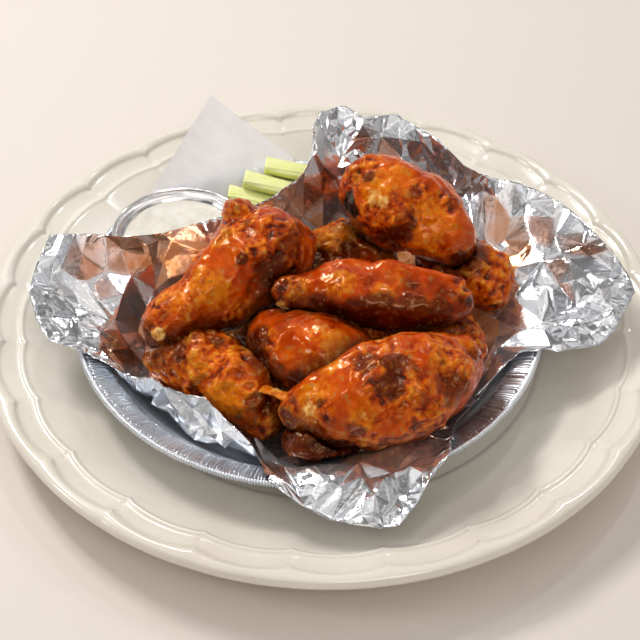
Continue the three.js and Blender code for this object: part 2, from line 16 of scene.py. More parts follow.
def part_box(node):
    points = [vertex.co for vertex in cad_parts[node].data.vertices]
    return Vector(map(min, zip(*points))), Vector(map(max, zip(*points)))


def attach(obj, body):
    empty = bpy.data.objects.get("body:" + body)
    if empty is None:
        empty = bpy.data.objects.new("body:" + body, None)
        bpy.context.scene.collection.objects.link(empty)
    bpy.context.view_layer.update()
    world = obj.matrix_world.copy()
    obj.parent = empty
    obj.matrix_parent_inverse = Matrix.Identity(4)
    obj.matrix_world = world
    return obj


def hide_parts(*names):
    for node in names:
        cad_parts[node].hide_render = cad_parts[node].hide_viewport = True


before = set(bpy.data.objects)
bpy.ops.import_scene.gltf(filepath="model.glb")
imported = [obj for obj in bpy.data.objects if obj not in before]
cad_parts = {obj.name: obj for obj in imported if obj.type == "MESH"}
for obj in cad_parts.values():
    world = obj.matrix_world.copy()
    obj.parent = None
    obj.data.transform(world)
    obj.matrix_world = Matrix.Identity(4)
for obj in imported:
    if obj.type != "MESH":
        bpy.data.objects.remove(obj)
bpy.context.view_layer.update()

MM = 0.001
SEED = 7

# -------- camera

IMAGE_SIZE = 640
FOCAL_PIXELS = 1400.0
SENSOR_WIDTH = 36.0
CAMERA_AIM = np.array([-2.09, 13.61, 0.0])
CAMERA_DISTANCE = 649.3
CAMERA_ELEVATION = math.radians(44.36)
CAMERA_ROLL = math.radians(0.82)
CAMERA_CLIP = (0.01, 50)

FORWARD = np.array([0.0, math.cos(CAMERA_ELEVATION), -math.sin(CAMERA_ELEVATION)])
LEVEL_RIGHT = np.array([1.0, 0.0, 0.0])
LEVEL_UP = np.cross(LEVEL_RIGHT, FORWARD)
IMAGE_RIGHT = LEVEL_RIGHT * math.cos(CAMERA_ROLL) + LEVEL_UP * math.sin(CAMERA_ROLL)
IMAGE_UP = LEVEL_UP * math.cos(CAMERA_ROLL) - LEVEL_RIGHT * math.sin(CAMERA_ROLL)
CAMERA_PLACE = CAMERA_AIM - FORWARD * CAMERA_DISTANCE


def add_camera():
    data = bpy.data.cameras.new("camera")
    data.sensor_width = SENSOR_WIDTH
    data.lens = FOCAL_PIXELS / IMAGE_SIZE * SENSOR_WIDTH
    data.clip_start, data.clip_end = CAMERA_CLIP
    camera = linked("camera", data)
    turn = Matrix([IMAGE_RIGHT, IMAGE_UP, -FORWARD]).transposed().to_4x4()
    camera.matrix_world = Matrix.Translation(Vector(CAMERA_PLACE * MM)) @ turn
    bpy.context.scene.camera = camera


def pixel_ray(x, y):
    """The direction in which the camera sees a pixel of the 640 by 640 image."""
    half = IMAGE_SIZE / 2
    ray = FORWARD * FOCAL_PIXELS + IMAGE_RIGHT * (x - half) - IMAGE_UP * (y - half)
    return ray / np.linalg.norm(ray)


def seen_point(tree, x, y):
    """Where the camera's ray through a pixel first meets a surface, and the number of that face."""
    place, _, face, _ = tree.ray_cast(Vector(CAMERA_PLACE), Vector(pixel_ray(x, y)))
    return (None, None) if place is None else (np.array(place), face)


def seen_line(tree, pixels):
    """The points of a surface that some pixels show; a pixel beside the surface is left out."""
    hits = [seen_point(tree, x, y)[0] for x, y in pixels]
    return [hit for hit in hits if hit is not None]


# -------- number helpers


def smooth_step(low, high, value):
    t = np.clip((value - low) / (high - low), 0, 1)
    return t * t * (3 - 2 * t)


def hashed(cells, seed, channel):
    """A repeatable number from 0 to 1 for each cell of whole coordinates."""
    mixed = cells[:, 0] * 73856093 ^ cells[:, 1] * 19349663 ^ cells[:, 2] * 83492791
    mixed = (mixed ^ (seed * 2654435761 + channel * 40503017)) & 0xFFFFFFFF
    mixed = ((mixed ^ (mixed >> 15)) * 2246822519) & 0xFFFFFFFF
    mixed = ((mixed ^ (mixed >> 13)) * 3266489917) & 0xFFFFFFFF
    return ((mixed ^ (mixed >> 16)) & 0xFFFFFF) / 0xFFFFFF


def noise(points, size, seed):
    """Smooth noise from about -1 to 1, with features of about the given size."""
    scaled = points / size
    cell = np.floor(scaled).astype(np.int64)
    local = scaled - cell
    fade = local ** 3 * (local * (local * 6 - 15) + 10)
    total = np.zeros(len(points))
    for corner in itertools.product((0, 1), repeat=3):
        offset = np.array(corner)
        slope = np.stack([hashed(cell + offset, seed, k) for k in range(3)], axis=1) * 2 - 1
        weight = np.prod(np.where(offset == 1, fade, 1 - fade), axis=1)
        total += weight * np.sum(slope * (local - offset), axis=1)
    return total * 1.7


def level_side(along):
    """The level direction across another direction."""
    side = np.cross(along, [0, 0, 1])
    return side / np.linalg.norm(side)


def layered_noise(points, size, seed, layers=3):
    total = sum(noise(points, size / 2 ** k, seed + k) / 2 ** k for k in range(layers))
    return total / 1.5


def bubbles(points, size, seed):
    """Round domes packed side by side, from 0 in the creases between them to 1 on their tops."""
    scaled = points / size
    cell = np.floor(scaled).astype(np.int64)
    nearest = np.full(len(points), 9.0)
    for step in itertools.product((-1, 0, 1), repeat=3):
        other = cell + np.array(step)
        jitter = np.stack([hashed(other, seed, k) for k in range(3)], axis=1)
        nearest = np.minimum(nearest, np.sum((other + jitter - scaled) ** 2, axis=1))
    return np.sqrt(np.clip(1 - nearest, 0, 1))


# -------- mesh helpers


def faces_of(mesh):
    return [tuple(polygon.vertices) for polygon in mesh.polygons]


def places_of(mesh):
    flat = np.empty(len(mesh.vertices) * 3, np.float32)
    mesh.vertices.foreach_get("co", flat)
    return flat.reshape(-1, 3).astype(float) / MM


def triangles_of(faces):
    """Faces of three or more corners as an array of triangles."""
    return np.array([(f[0], f[k], f[k + 1]) for f in faces for k in range(1, len(f) - 1)])


def point_normals(points, triangles):
    a, b, c = (points[triangles[:, k]] for k in range(3))
    area = np.cross(b - a, c - a)
    total = np.zeros_like(points)
    for k in range(3):
        np.add.at(total, triangles[:, k], area)
    return total / np.maximum(np.linalg.norm(total, axis=1, keepdims=True), 1e-12)


def edges_of(triangles):
    pairs = np.sort(triangles[:, [0, 1, 1, 2, 2, 0]].reshape(-1, 2), axis=1)
    return np.unique(pairs, axis=0, return_inverse=True)


def smoothed(values, triangles, passes, keep=None):
    """Each point moved to the mean of its neighbours, a number of times, except those to keep."""
    edges, _ = edges_of(triangles)
    count = np.bincount(edges.ravel(), minlength=len(values))[:, None]
    result = values.copy()
    for _ in range(passes):
        total = np.zeros_like(result)
        np.add.at(total, edges[:, 0], result[edges[:, 1]])
        np.add.at(total, edges[:, 1], result[edges[:, 0]])
        moved = (result + total / count) / 2
        if keep is not None:
            moved[keep] = result[keep]
        result = moved
    return result


def split_long_edges(points, triangles, longest, owner=None):
    """Triangles cut at the middles of the edges that are too long. Points may carry more columns.

    Where an owner is given for each triangle, its pieces keep it.
    """
    edges, number = edges_of(triangles)
    length = np.linalg.norm(points[edges[:, 0], :3] - points[edges[:, 1], :3], axis=1)
    long = length > longest
    middle = np.full(len(edges), -1)
    middle[long] = len(points) + np.arange(long.sum())
    added = (points[edges[long, 0]] + points[edges[long, 1]]) / 2
    middles_of = middle[number.reshape(-1, 3)]
    cut = []
    source = []
    for k, (corners, middles) in enumerate(zip(triangles.tolist(), middles_of.tolist())):
        pieces = cut_triangle(corners, middles)
        cut += pieces
        source += [k] * len(pieces)
    points = np.vstack([points, added])
    if owner is None:
        return points, np.array(cut)
    return points, np.array(cut), owner[source]


def cut_triangle(corners, middles):
    """The pieces of a triangle whose edges are cut at the given points, -1 for a whole edge."""
    cuts = sum(m >= 0 for m in middles)
    if cuts == 0:
        return [tuple(corners)]
    if cuts == 3:
        (a, b, c), (ab, bc, ca) = corners, middles
        return [(a, ab, ca), (ab, b, bc), (ca, bc, c), (ab, bc, ca)]
    # Turned so that the first edge is cut and, of two cuts, the last edge is whole.
    turn = next(k for k in range(3) if middles[k] >= 0 and (cuts == 1 or middles[k - 1] < 0))
    p, q, r = (corners[(turn + k) % 3] for k in range(3))
    first, second = (middles[(turn + k) % 3] for k in range(2))
    if cuts == 1:
        return [(p, first, r), (first, q, r)]
    return [(first, q, second), (p, first, second), (p, second, r)]


def grid_faces(rows, columns):
    """Quads between closed rows of points, facing out where the rows run anticlockwise and down."""
    quads = []
    for start in range(0, (rows - 1) * columns, columns):
        for c in range(columns):
            d = (c + 1) % columns
            quads.append((start + columns + c, start + columns + d, start + d, start + c))
    return quads


def fan_faces(centre, first, columns):
    """Triangles from a centre to a closed row of points that starts at the given one."""
    return [(centre, first + c, first + (c + 1) % columns) for c in range(columns)]


def flipped(faces):
    return [tuple(reversed(face)) for face in faces]


def circle(columns):
    """Evenly spaced angles for the points of a closed row."""
    return np.arange(columns) / columns * math.tau


def ring_points(centre, angle, radius, height):
    """Points about an upright line, a row for each radius and height, which may vary with the angle."""
    across = centre[0] + radius * np.cos(angle)
    back = centre[1] + radius * np.sin(angle)
    return np.stack([across, back, height + 0 * across], axis=2).reshape(-1, 3)


def linked(name, data):
    """A new object in the scene."""
    made = bpy.data.objects.new(name, data)
    bpy.context.scene.collection.objects.link(made)
    return made


def add_piece(name, points, faces, material, nodes, marks=None, face_marks=None):
    """A mesh object from millimetres that stands for some CAD nodes."""
    mesh = bpy.data.meshes.new(name)
    mesh.from_pydata((points * MM).tolist(), [], [tuple(map(int, f)) for f in faces])
    mesh.polygons.foreach_set("use_smooth", [True] * len(mesh.polygons))
    for domain, layers in (("POINT", marks), ("FACE", face_marks)):
        for label, values in (layers or {}).items():
            layer = mesh.attributes.new(label, "FLOAT", domain)
            layer.data.foreach_set("value", np.asarray(values, np.float32))
    mesh.materials.append(material)
    piece = linked(name, mesh)
    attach(piece, "root")
    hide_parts(*nodes)
    return piece


def thin_sheet(piece, thickness):
    """Gives an open sheet two faces."""
    solid = piece.modifiers.new("thickness", "SOLIDIFY")
    solid.thickness = thickness * MM
    solid.offset = 0


def tree_of(points, faces):
    """What casts rays at a surface and finds its nearest point."""
    return BVHTree.FromPolygons(points.tolist(), faces)


def node_tree(name):
    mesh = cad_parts[name].data
    return tree_of(places_of(mesh), faces_of(mesh))


def box_of(name):
    """The low and high corners of a node's box."""
    low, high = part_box(name)
    return np.array(low) / MM, np.array(high) / MM


def remeshed(name, voxel):
    """A fine even skin over a CAD node: its points and triangles."""
    work = linked("work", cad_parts[name].data.copy())
    weld = work.modifiers.new("weld", "WELD")
    weld.merge_threshold = 0.005 * MM
    skin = work.modifiers.new("skin", "REMESH")
    skin.mode = "VOXEL"
    skin.voxel_size = voxel * MM
    made = work.evaluated_get(bpy.context.evaluated_depsgraph_get()).to_mesh()
    points = places_of(made)
    triangles = triangles_of(faces_of(made))
    bpy.data.objects.remove(work)
    return points, triangles


def top_sheet(name, thickness):
    """The middle surface of a thin CAD node, from its upper face: points and triangles."""
    source = bmesh.new()
    source.from_mesh(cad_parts[name].data)
    bmesh.ops.remove_doubles(source, verts=source.verts, dist=0.003 * MM)
    source.faces.index_update()
    slack = 0.002 * MM

    def is_border(face):
        return any(abs(edge.calc_length() - thickness * MM) < slack for edge in face.edges)

    low = min((f for f in source.faces if f.normal.z > 0.9 and not is_border(f)),
              key=lambda f: f.calc_center_median().z)
    found = {low}
    waiting = [low]
    while waiting:
        for edge in waiting.pop().edges:
            for face in edge.link_faces:
                if face not in found and not is_border(face):
                    found.add(face)
                    waiting.append(face)
    vertices = sorted({v for f in found for v in f.verts}, key=lambda v: v.index)
    number = {v: k for k, v in enumerate(vertices)}
    points = np.array([v.co for v in vertices], float) / MM
    faces = sorted(found, key=lambda f: f.index)
    triangles = np.array([[number[v] for v in f.verts] for f in faces])
    source.free()
    return points - point_normals(points, triangles) * thickness / 2, triangles


# -------- material helpers


class Nodes:
    """A node tree, with short ways to add what the finishes and the studio use."""

    def __init__(self, tree):
        self.tree = tree

    def node(self, kind, inputs=None, **settings):
        made = self.tree.nodes.new(kind)
        for key, value in settings.items():
            setattr(made, key, value)
        for socket, value in (inputs or {}).items():
            self.set(made.inputs[socket], value)
        return made

    def set(self, socket, value):
        if isinstance(value, bpy.types.NodeSocket):
            self.tree.links.new(value, socket)
        else:
            socket.default_value = value

    def spread(self, value, low, high, to_low=0.0, to_high=1.0):
        """A value from low to high as one from to_low to to_high."""
        made = self.node("ShaderNodeMapRange", {
            "Value": value, "From Min": low, "From Max": high, "To Min": to_low, "To Max": to_high})
        return made.outputs["Result"]

    def sum(self, first, second, operation="ADD", third=0.0):
        made = self.node("ShaderNodeMath", {0: first, 1: second, 2: third}, operation=operation)
        return made.outputs[0]

    def product(self, first, second):
        return self.sum(first, second, "MULTIPLY")


class Paint(Nodes):
    """The nodes of a material."""

    def __init__(self, name, **settings):
        self.material = bpy.data.materials.new(name)
        self.material.use_nodes = True
        super().__init__(self.material.node_tree)
        self.shader = self.tree.nodes["Principled BSDF"]
        self.place = self.node("ShaderNodeTexCoord").outputs["Object"]
        self.feed(**settings)

    def feed(self, **settings):
        """Sets or links inputs of the shader, and gives the material."""
        for socket, value in settings.items():
            self.set(self.shader.inputs[socket.replace("_", " ")], value)
        return self.material

    def noise(self, size, detail=2.0, roughness=0.5, stretch=None):
        """Noise from 0 to 1 with features of a size in millimetres."""
        place = self.place
        if stretch:
            place = self.node("ShaderNodeMapping", {"Vector": place, "Scale": stretch}).outputs[0]
        made = self.node("ShaderNodeTexNoise", {
            "Vector": place, "Scale": 1 / (size * MM), "Detail": detail, "Roughness": roughness})
        return made.outputs["Fac"]

    def cells(self, size, feature):
        made = self.node("ShaderNodeTexVoronoi", {"Vector": self.place, "Scale": 1 / (size * MM)},
                         feature=feature)
        return made.outputs["Distance"]

    def mark(self, name):
        return self.node("ShaderNodeAttribute", attribute_name=name).outputs["Fac"]

    def ramp(self, value, stops):
        made = self.node("ShaderNodeValToRGB", {"Fac": value})
        elements = made.color_ramp.elements
        while len(elements) < len(stops):
            elements.new(0.5)
        for element, (place, colour) in zip(elements, stops):
            element.position = place
            element.color = (*colour, 1)
        return made.outputs["Color"]

    def clouds(self, value, first, second):
        """From one colour to another as a noise goes through its middle range."""
        return self.ramp(value, [(0.3, first), (0.7, second)])

    def mix(self, amount, first, second):
        made = self.node("ShaderNodeMix", data_type="RGBA")
        for socket, value in ((0, amount), (6, first), (7, second)):
            self.set(made.inputs[socket], (*value, 1) if isinstance(value, tuple) else value)
        return made.outputs[2]

    def bump(self, height, depth, normal=None):
        """Relief of a depth in millimetres where the height goes from 0 to 1."""
        made = self.node("ShaderNodeBump", {"Height": height, "Distance": depth * MM})
        if normal is not None:
            self.set(made.inputs["Normal"], normal)
        return made.outputs["Normal"]


def linear(red, green, blue):
    """A screen colour of 0 to 255 as the light that it stands for."""
    parts = [channel / 255 for channel in (red, green, blue)]
    return tuple(p / 12.92 if p <= 0.04045 else ((p + 0.055) / 1.055) ** 2.4 for p in parts)


# -------- plate

PLATE_LOBES = 24
PLATE_LOBE_PHASE = math.radians(10)
PLATE_COLUMNS = 24 * PLATE_LOBES
# Radius, height and scallop depth down the plate's section, from the well out and back to the foot.
PLATE_SECTION = [
    (4, 7, 0), (88, 7, 0), (97, 7.6, 0), (105, 9.5, 0), (115, 12.9, 0), (124, 16.2, 0.3),
    (130, 18.3, 1.2), (132.6, 19.2, 1.9), (133.8, 20, 2.1), (134.8, 20.1, 2.1), (135.8, 19.6, 2.1),
    (138, 19.9, 2.3), (142, 21, 3), (143.6, 21.8, 3.3), (144.6, 23, 3.2), (146, 23.9, 2.4),
    (147.6, 24, 1.4), (149.1, 23.2, 0.8), (149.9, 21.6, 0.4), (149.7, 19.9, 0.2), (148.2, 18.3, 0),
    (143, 16.4, 0), (127, 12.4, 0), (101, 4.4, 0), (93, 2.6, 0), (91, 1.4, 0), (90.2, 0.2, 0),
    (89.4, 0, 0), (84.6, 0, 0), (83.6, 0.4, 0), (83, 1.6, 0), (81, 2.4, 0), (4, 2.4, 0),
]
PLATE_ROW_STEPS = 3
# Radii between which the groove of each pinch lies on the rim's band, and the height it starts at.
PINCH_BAND = {"from": (135, 138), "to": (145, 143), "above": 18}
PINCH_SHARPNESS = 0.6
PINCH_GROOVE = 0.7
PINCH_WIDTH = 0.05


def smooth_rows(rows, steps):
    """Rows of numbers with evenly rounded rows added between them."""
    rows = np.array(rows, float)
    padded = np.vstack([rows[0], rows, rows[-1]])
    made = []
    for before, start, end, after in zip(padded, padded[1:], padded[2:], padded[3:]):
        for k in range(steps):
            t = k / steps
            bend = 0.5 * (2 * start + (end - before) * t
                          + (2 * before - 5 * start + 4 * end - after) * t * t
                          + (3 * start - before - 3 * end + after) * t ** 3)
            made.append(bend)
    return np.array(made + [rows[-1]])


def add_plate():
    rows = smooth_rows(PLATE_SECTION, PLATE_ROW_STEPS)
    turn = circle(PLATE_COLUMNS)
    lobe = np.abs(np.sin(PLATE_LOBES / 2 * turn)) ** PINCH_SHARPNESS
    radius = rows[:, :1] - np.maximum(rows[:, 2:], 0) * (1 - lobe)
    groove = np.exp(-lobe ** 2 / PINCH_WIDTH) * PINCH_GROOVE
    on_band = smooth_step(*PINCH_BAND["from"], rows[:, :1]) * smooth_step(*PINCH_BAND["to"], rows[:, :1])
    on_band = on_band * (rows[:, 1:2] > PINCH_BAND["above"])
    height = rows[:, 1:2] - groove * on_band
    points = ring_points((0, 0), PLATE_LOBE_PHASE + turn, radius, height)
    centre = len(points)
    points = np.vstack([points, [0, 0, rows[0, 1]], [0, 0, rows[-1, 1]]])
    faces = grid_faces(len(rows), PLATE_COLUMNS) + fan_faces(centre, 0, PLATE_COLUMNS)
    faces += flipped(fan_faces(centre + 1, centre - PLATE_COLUMNS, PLATE_COLUMNS))
    add_piece("scalloped_plate", points, faces, glaze(), ["plate"])


def glaze():
    paint = Paint("cream_glaze", Coat_Weight=0.5, Coat_Roughness=0.08)
    colour = paint.clouds(paint.noise(60, detail=3), linear(228, 221, 208), linear(238, 233, 223))
    speck = paint.spread(paint.noise(1.6, detail=1), 0.72, 0.8)
    return paint.feed(
        Base_Color=paint.mix(paint.product(speck, 0.25), colour, linear(188, 176, 150)),
        Roughness=paint.spread(paint.noise(25), 0.2, 0.8, 0.14, 0.26),
        Normal=paint.bump(paint.noise(14, detail=3), 0.12))


# -------- pan

PAN_COLUMNS = 2160
PAN_PLEATS = 400
PAN_PLEAT_DEPTH = 1.15
PAN_METALLIC = 0.88
PAN_KNURLS = 540
PAN_KNURL_DEPTH = 0.22
# Shares of the rim's radius: the floor, the wall and the start of the fluted lip.
PAN_SHARES = [0.02, 0.3, 0.5, 0.6, 0.66, 0.7, 0.72, 0.74, 0.755, 0.77, 0.8, 0.83, 0.86, 0.88, 0.893]
PAN_LIP_SHARES = [0.9, 0.91, 0.92, 0.935, 0.95, 0.965, 0.978, 0.986]
# Shares over which the flutes set in, the wall's finish ends and the floor's dents end.
PAN_FLUTE_START = (0.895, 0.915)
PAN_WALL_END = (0.9, 0.87)
PAN_DENT_END = (0.9, 0.7)
PAN_BEAD_STEPS = 8
PAN_BEAD_RADIUS = 1.1
PAN_BEAD_TURN = math.radians(270)
PAN_BEAD_GAP = 0.4
# From the top of the bead to the height at which rays find the rim.
PAN_RIM_DROP = 1.2
PAN_DENT = 0.18
PAN_SHEET = 0.15


def pan_centre():
    """The pan's round side gives its centre: its right, front and back edges aren't pushed out."""
    low, high = box_of("pan")
    radius = (high[1] - low[1]) / 2
    return np.array([high[0] - radius, (high[1] + low[1]) / 2]), radius


def pan_rim(tree, centre, out, radius, height):
    """How far the pan's rim lies from the centre in each direction."""
    rim = np.empty(len(out))
    for c, (x, y) in enumerate(out):
        start = Vector((centre[0] + x * 2 * radius, centre[1] + y * 2 * radius, height))
        rim[c] = 2 * radius - tree.ray_cast(start, Vector((-x, -y, 0)))[3]
    return rim - PAN_BEAD_RADIUS


def heights_under(tree, places, start):
    """The heights at which rays down from a start height meet a surface."""
    down = Vector((0, 0, -1))
    return np.array([tree.ray_cast(Vector((x, y, start)), down)[0].z for x, y in places])


def pan_pleats(angle):
    """How far the fluted lip stands up or down in each direction."""
    ring = np.stack([np.cos(angle), np.sin(angle), 0 * angle], axis=1)
    warp = angle * PAN_PLEATS + 5 * noise(ring * 22, 1, 31)
    sharp = 1 - 2 * np.abs(np.sin(warp / 2)) ** 1.6
    strength = 0.7 + 0.8 * noise(ring * 30, 1, 32)
    return sharp * np.clip(strength, 0.15, 1.2) * PAN_PLEAT_DEPTH


def add_pan():
    tree = node_tree("pan")
    centre, radius = pan_centre()
    rim_z = box_of("pan")[1][2] - PAN_RIM_DROP
    angle = circle(PAN_COLUMNS)
    out = np.stack([np.cos(angle), np.sin(angle)], axis=1)
    rim = pan_rim(tree, centre, out, radius, rim_z)
    pleat = pan_pleats(angle)
    rows = []
    for share in PAN_SHARES + PAN_LIP_SHARES:
        places = centre + out * (share * rim)[:, None]
        flute = smooth_step(*PAN_FLUTE_START, share)
        rows.append(np.column_stack([places, heights_under(tree, places, 2 * rim_z) + flute * pleat]))
    lip_z = rows[-1][:, 2].mean()
    bead = PAN_BEAD_RADIUS + np.sin(angle * PAN_KNURLS) * PAN_KNURL_DEPTH
    for k in range(1, PAN_BEAD_STEPS + 1):
        turn = PAN_BEAD_TURN * k / PAN_BEAD_STEPS - math.pi / 2
        reach = rim * PAN_LIP_SHARES[-1] + bead * (1 + np.sin(turn)) + PAN_BEAD_GAP
        rows.append(np.column_stack([centre + out * reach[:, None], lip_z + bead * (np.cos(turn) - 0.1)]))
    points = np.vstack([*rows, [*centre, rows[0][0, 2]]])
    faces = grid_faces(len(rows), PAN_COLUMNS) + fan_faces(len(points) - 1, 0, PAN_COLUMNS)
    dent = smooth_step(*PAN_DENT_END, np.linalg.norm(points[:, :2] - centre, axis=1) / radius)
    points[:, 2] += dent * PAN_DENT * noise(points, 16, 33)
    shares = PAN_SHARES + PAN_LIP_SHARES + [1] * PAN_BEAD_STEPS
    wall = np.append(np.repeat(smooth_step(*PAN_WALL_END, np.array(shares)), PAN_COLUMNS), 1)
    piece = add_piece("shallow_pan", points, faces, pan_metal(), ["pan"], {"wall": wall})
    thin_sheet(piece, PAN_SHEET)


def pan_metal():
    paint = Paint("pressed_foil")
    wall = paint.mark("wall")
    rough = paint.spread(paint.noise(6, detail=4), 0.25, 0.75, 0.24, 0.4)
    dents = paint.bump(paint.noise(7, detail=2), 0.25)
    return paint.feed(
        Base_Color=paint.clouds(paint.noise(30, detail=3), (0.72, 0.76, 0.82), (0.88, 0.91, 0.96)),
        Roughness=paint.sum(wall, 0.2, "MULTIPLY_ADD", rough),
        Metallic=paint.spread(wall, 0, 1, PAN_METALLIC, 0.55),
        Normal=paint.bump(paint.noise(2, detail=3, stretch=(1, 0.06, 1)), 0.05, dents))


# -------- foil lining

FOIL_THICKNESS = 0.8
FOIL_SHEET = 0.1
FOIL_BORDER_STEP = 2.4
FOIL_BORDER_WANDER = 0.5
# The torn edge lies left of the first value, behind the second and above the third.
FOIL_TORN = (-20, -2, 43)
FOIL_TOOTH = 1.5
FOIL_TOOTH_DEPTH = 0.75
# Large, medium and small facets: how far apart their corners lie, how far those stand off the sheet,
# and how far they keep from other corners and from creases.
FOIL_FACETS = [(15.0, 1.3, 5.5, 7.5), (6.4, 0.8, 2.6, 1.6), (3.1, 0.4, 1.5, 1.1)]
FOIL_LONGEST_EDGE = 2.0
FOIL_BEND = 0.3
FOIL_ROUNDING = 1
FOIL_BASE_ROUNDING = 6
FOIL_METALLIC = 0.84
# Points of creases that lie this close are one corner.
FOIL_SNAP = 3.0
FOIL_CREASE_ANGLE = math.radians(16)

# Creases: the height in millimetres to which each stands up, below 0 where it is pressed in, and the
# pixels that it passes. One with a single pixel is a dent.
CREASES = [
    # left flap
    (1.3, (75, 235), (61, 270), (77, 280), (108, 322)), (-1, (103, 236), (82, 253), (61, 270)),
    (1.2, (107, 248), (107, 272)), (-0.9, (134, 236), (122, 249), (108, 271)),
    (1, (122, 249), (131, 276), (155, 288)), (1.4, (107, 272), (122, 294), (138, 319)),
    (-1.1, (131, 277), (138, 319)), (0.9, (172, 240), (163, 263), (155, 288), (146, 306)),
    (1, (138, 319), (114, 321), (99, 335), (97, 352)), (-0.8, (109, 353), (126, 370)),
    (0.9, (62, 236), (56, 257), (49, 286)), (-0.9, (47, 246), (38, 284), (30, 296)),
    (1, (31, 296), (45, 304), (71, 319), (77, 340)), (0.8, (34, 287), (58, 289), (75, 295)),
    (-0.8, (50, 316), (66, 336)),
    # front left wall with its peak
    (3, (159, 381), (164, 391), (162, 408)), (-1.6, (147, 391), (157, 400)), (1.6, (147, 391), (152, 382)),
    (-2.4, (172, 398), (187, 418)), (2.2, (190, 409), (206, 425)), (-1.8, (206, 406), (223, 431)),
    (1.4, (166, 391), (190, 409), (206, 406)), (1.6, (206, 425), (223, 431)),
    # bottom flap
    (2.2, (320, 511), (339, 489), (360, 467), (401, 447)),
    (-1.2, (330, 519), (368, 477), (395, 471), (430, 455)), (1.1, (362, 479), (374, 496), (362, 516)),
    (1, (383, 480), (374, 496)), (-1, (395, 471), (398, 497), (383, 516)), (1, (410, 468), (398, 497)),
    (1.2, (236, 432), (259, 461), (281, 482), (305, 506)), (-0.9, (234, 440)),
    (-0.8, (252, 432), (284, 465), (300, 496)),
    # right flap
    (1.8, (524, 217), (532, 245), (544, 263)), (1.5, (553, 219), (549, 250), (545, 263)),
    (-1.2, (555, 234), (582, 243), (611, 252)), (1.4, (551, 198), (553, 219)),
    (1.1, (567, 207), (562, 234), (555, 252)), (1.6, (544, 263), (514, 301)),
    (-1.4, (544, 263), (558, 283), (576, 304)), (1.5, (558, 283), (534, 288), (514, 301)),
    (1.2, (547, 288), (542, 324)), (-1, (548, 288), (556, 312)), (-1.2, (514, 301), (526, 329)),
    (1.3, (568, 260), (575, 282), (577, 304)), (-1.2, (505, 238), (529, 245)),
    (1, (505, 238), (511, 218), (527, 202), (551, 198)), (-1.1, (527, 202)), (-1, (524, 217), (553, 219)),
    (1.4, (576, 304), (594, 296), (604, 303), (614, 286)), (1, (588, 275), (591, 295)),
    (1.1, (484, 190), (496, 196), (511, 218)), (1.2, (519, 334), (547, 323), (578, 312)),
    (-1, (562, 252), (590, 254), (611, 252)), (-1, (569, 262), (588, 275), (613, 270)),
    (1.2, (482, 192), (486, 241)), (-1.2, (468, 200), (474, 232)), (-1.1, (497, 200), (494, 245)),
    # top flap
    (1.5, (318, 126), (330, 114), (341, 106)), (1.2, (383, 119), (380, 137), (398, 139), (422, 141)),
    (-1.2, (398, 138), (414, 126)), (1.3, (383, 131), (369, 137), (342, 156)), (-1, (422, 143), (412, 159)),
    (1.1, (323, 167), (336, 175), (339, 189)), (-1.2, (322, 170), (324, 195)),
]
# Where the foil is finely crinkled: pixel, radius in millimetres.
CRINKLES = [
    (40, 280, 13), (50, 308, 18), (75, 335, 15), (95, 345, 11), (110, 362, 8), (130, 375, 6), (150, 392, 9),
    (172, 408, 10), (192, 424, 9), (212, 438, 8), (335, 122, 13), (345, 140, 13), (362, 126, 9),
    (430, 150, 13), (446, 165, 13), (410, 165, 9), (470, 182, 10), (614, 290, 11), (602, 310, 13),
    (582, 326, 11), (592, 336, 11), (568, 345, 7), (298, 474, 8), (318, 482, 8), (338, 482, 6),
    (440, 440, 9), (452, 430, 7), (428, 466, 7), (400, 508, 9), (372, 514, 7), (455, 222, 9), (466, 235, 7),
    (345, 180, 8),
]
# Away from those, the noise above which the foil has medium facets.
CRINKLE_ELSEWHERE = 0.22
# Thin films of oil and sauce on the foil, partly painted reflections of the wings: pixel, radius in
# millimetres, and how yellow it is.
OIL_AND_REFLECTIONS = [
    (80, 256, 6, 0.25), (92, 250, 6, 0.3), (88, 266, 6, 0.1), (136, 252, 9, 0.2), (150, 262, 9, 0.1),
    (120, 262, 5, 0.1), (112, 338, 7, 0.1), (122, 352, 9, 0.2), (176, 262, 10, 1), (168, 278, 7, 1),
    (192, 250, 8, 0.9), (104, 288, 4, 0), (118, 243, 6, 0.1), (164, 240, 7, 0.2), (188, 229, 6, 0.3),
    (541, 228, 6, 0.1), (546, 240, 4, 0.1), (575, 243, 5, 0.1), (560, 268, 5, 0), (590, 248, 5, 0.1),
    (515, 240, 6, 0.6), (520, 256, 8, 0.4), (500, 232, 7, 0.6), (386, 150, 6, 0.1), (362, 142, 5, 0),
    (492, 212, 7, 0.3), (320, 182, 7, 0.2), (314, 196, 6, 0.4), (330, 186, 5, 0.1), (485, 318, 9, 1),
    (492, 335, 9, 0.9), (478, 345, 8, 0.8), (374, 452, 8, 0.9), (360, 462, 7, 0.6), (505, 262, 8, 0.8),
    (496, 280, 9, 0.7), (268, 470, 6, 0),
]
# The outside of the lining's wall shows at the front left and has no oil and no painted reflection:
# directions in degrees and distance from the pan's centre.
BARE_WALL = (-170, -60)
BARE_WALL_REACH = 52
OIL_AND_REFLECTION_SPREAD = 1.35
# The oil on the lining's floor, with the wings' reflection painted into it: the heights and the
# distances from the pan's centre over which it ends, how far those waver, and how yellow it is.
OIL_AND_REFLECTION_POOL = {"heights": (26, 16), "reach": (90, 76), "ragged": 14, "yellow": 0.8}
# How far a film of oil and painted reflection takes the outline of whole facets, from 0 to 1.
OIL_AND_REFLECTION_FACET_SHARE = 0.75
OIL_AND_REFLECTION_STRENGTH = 0.95


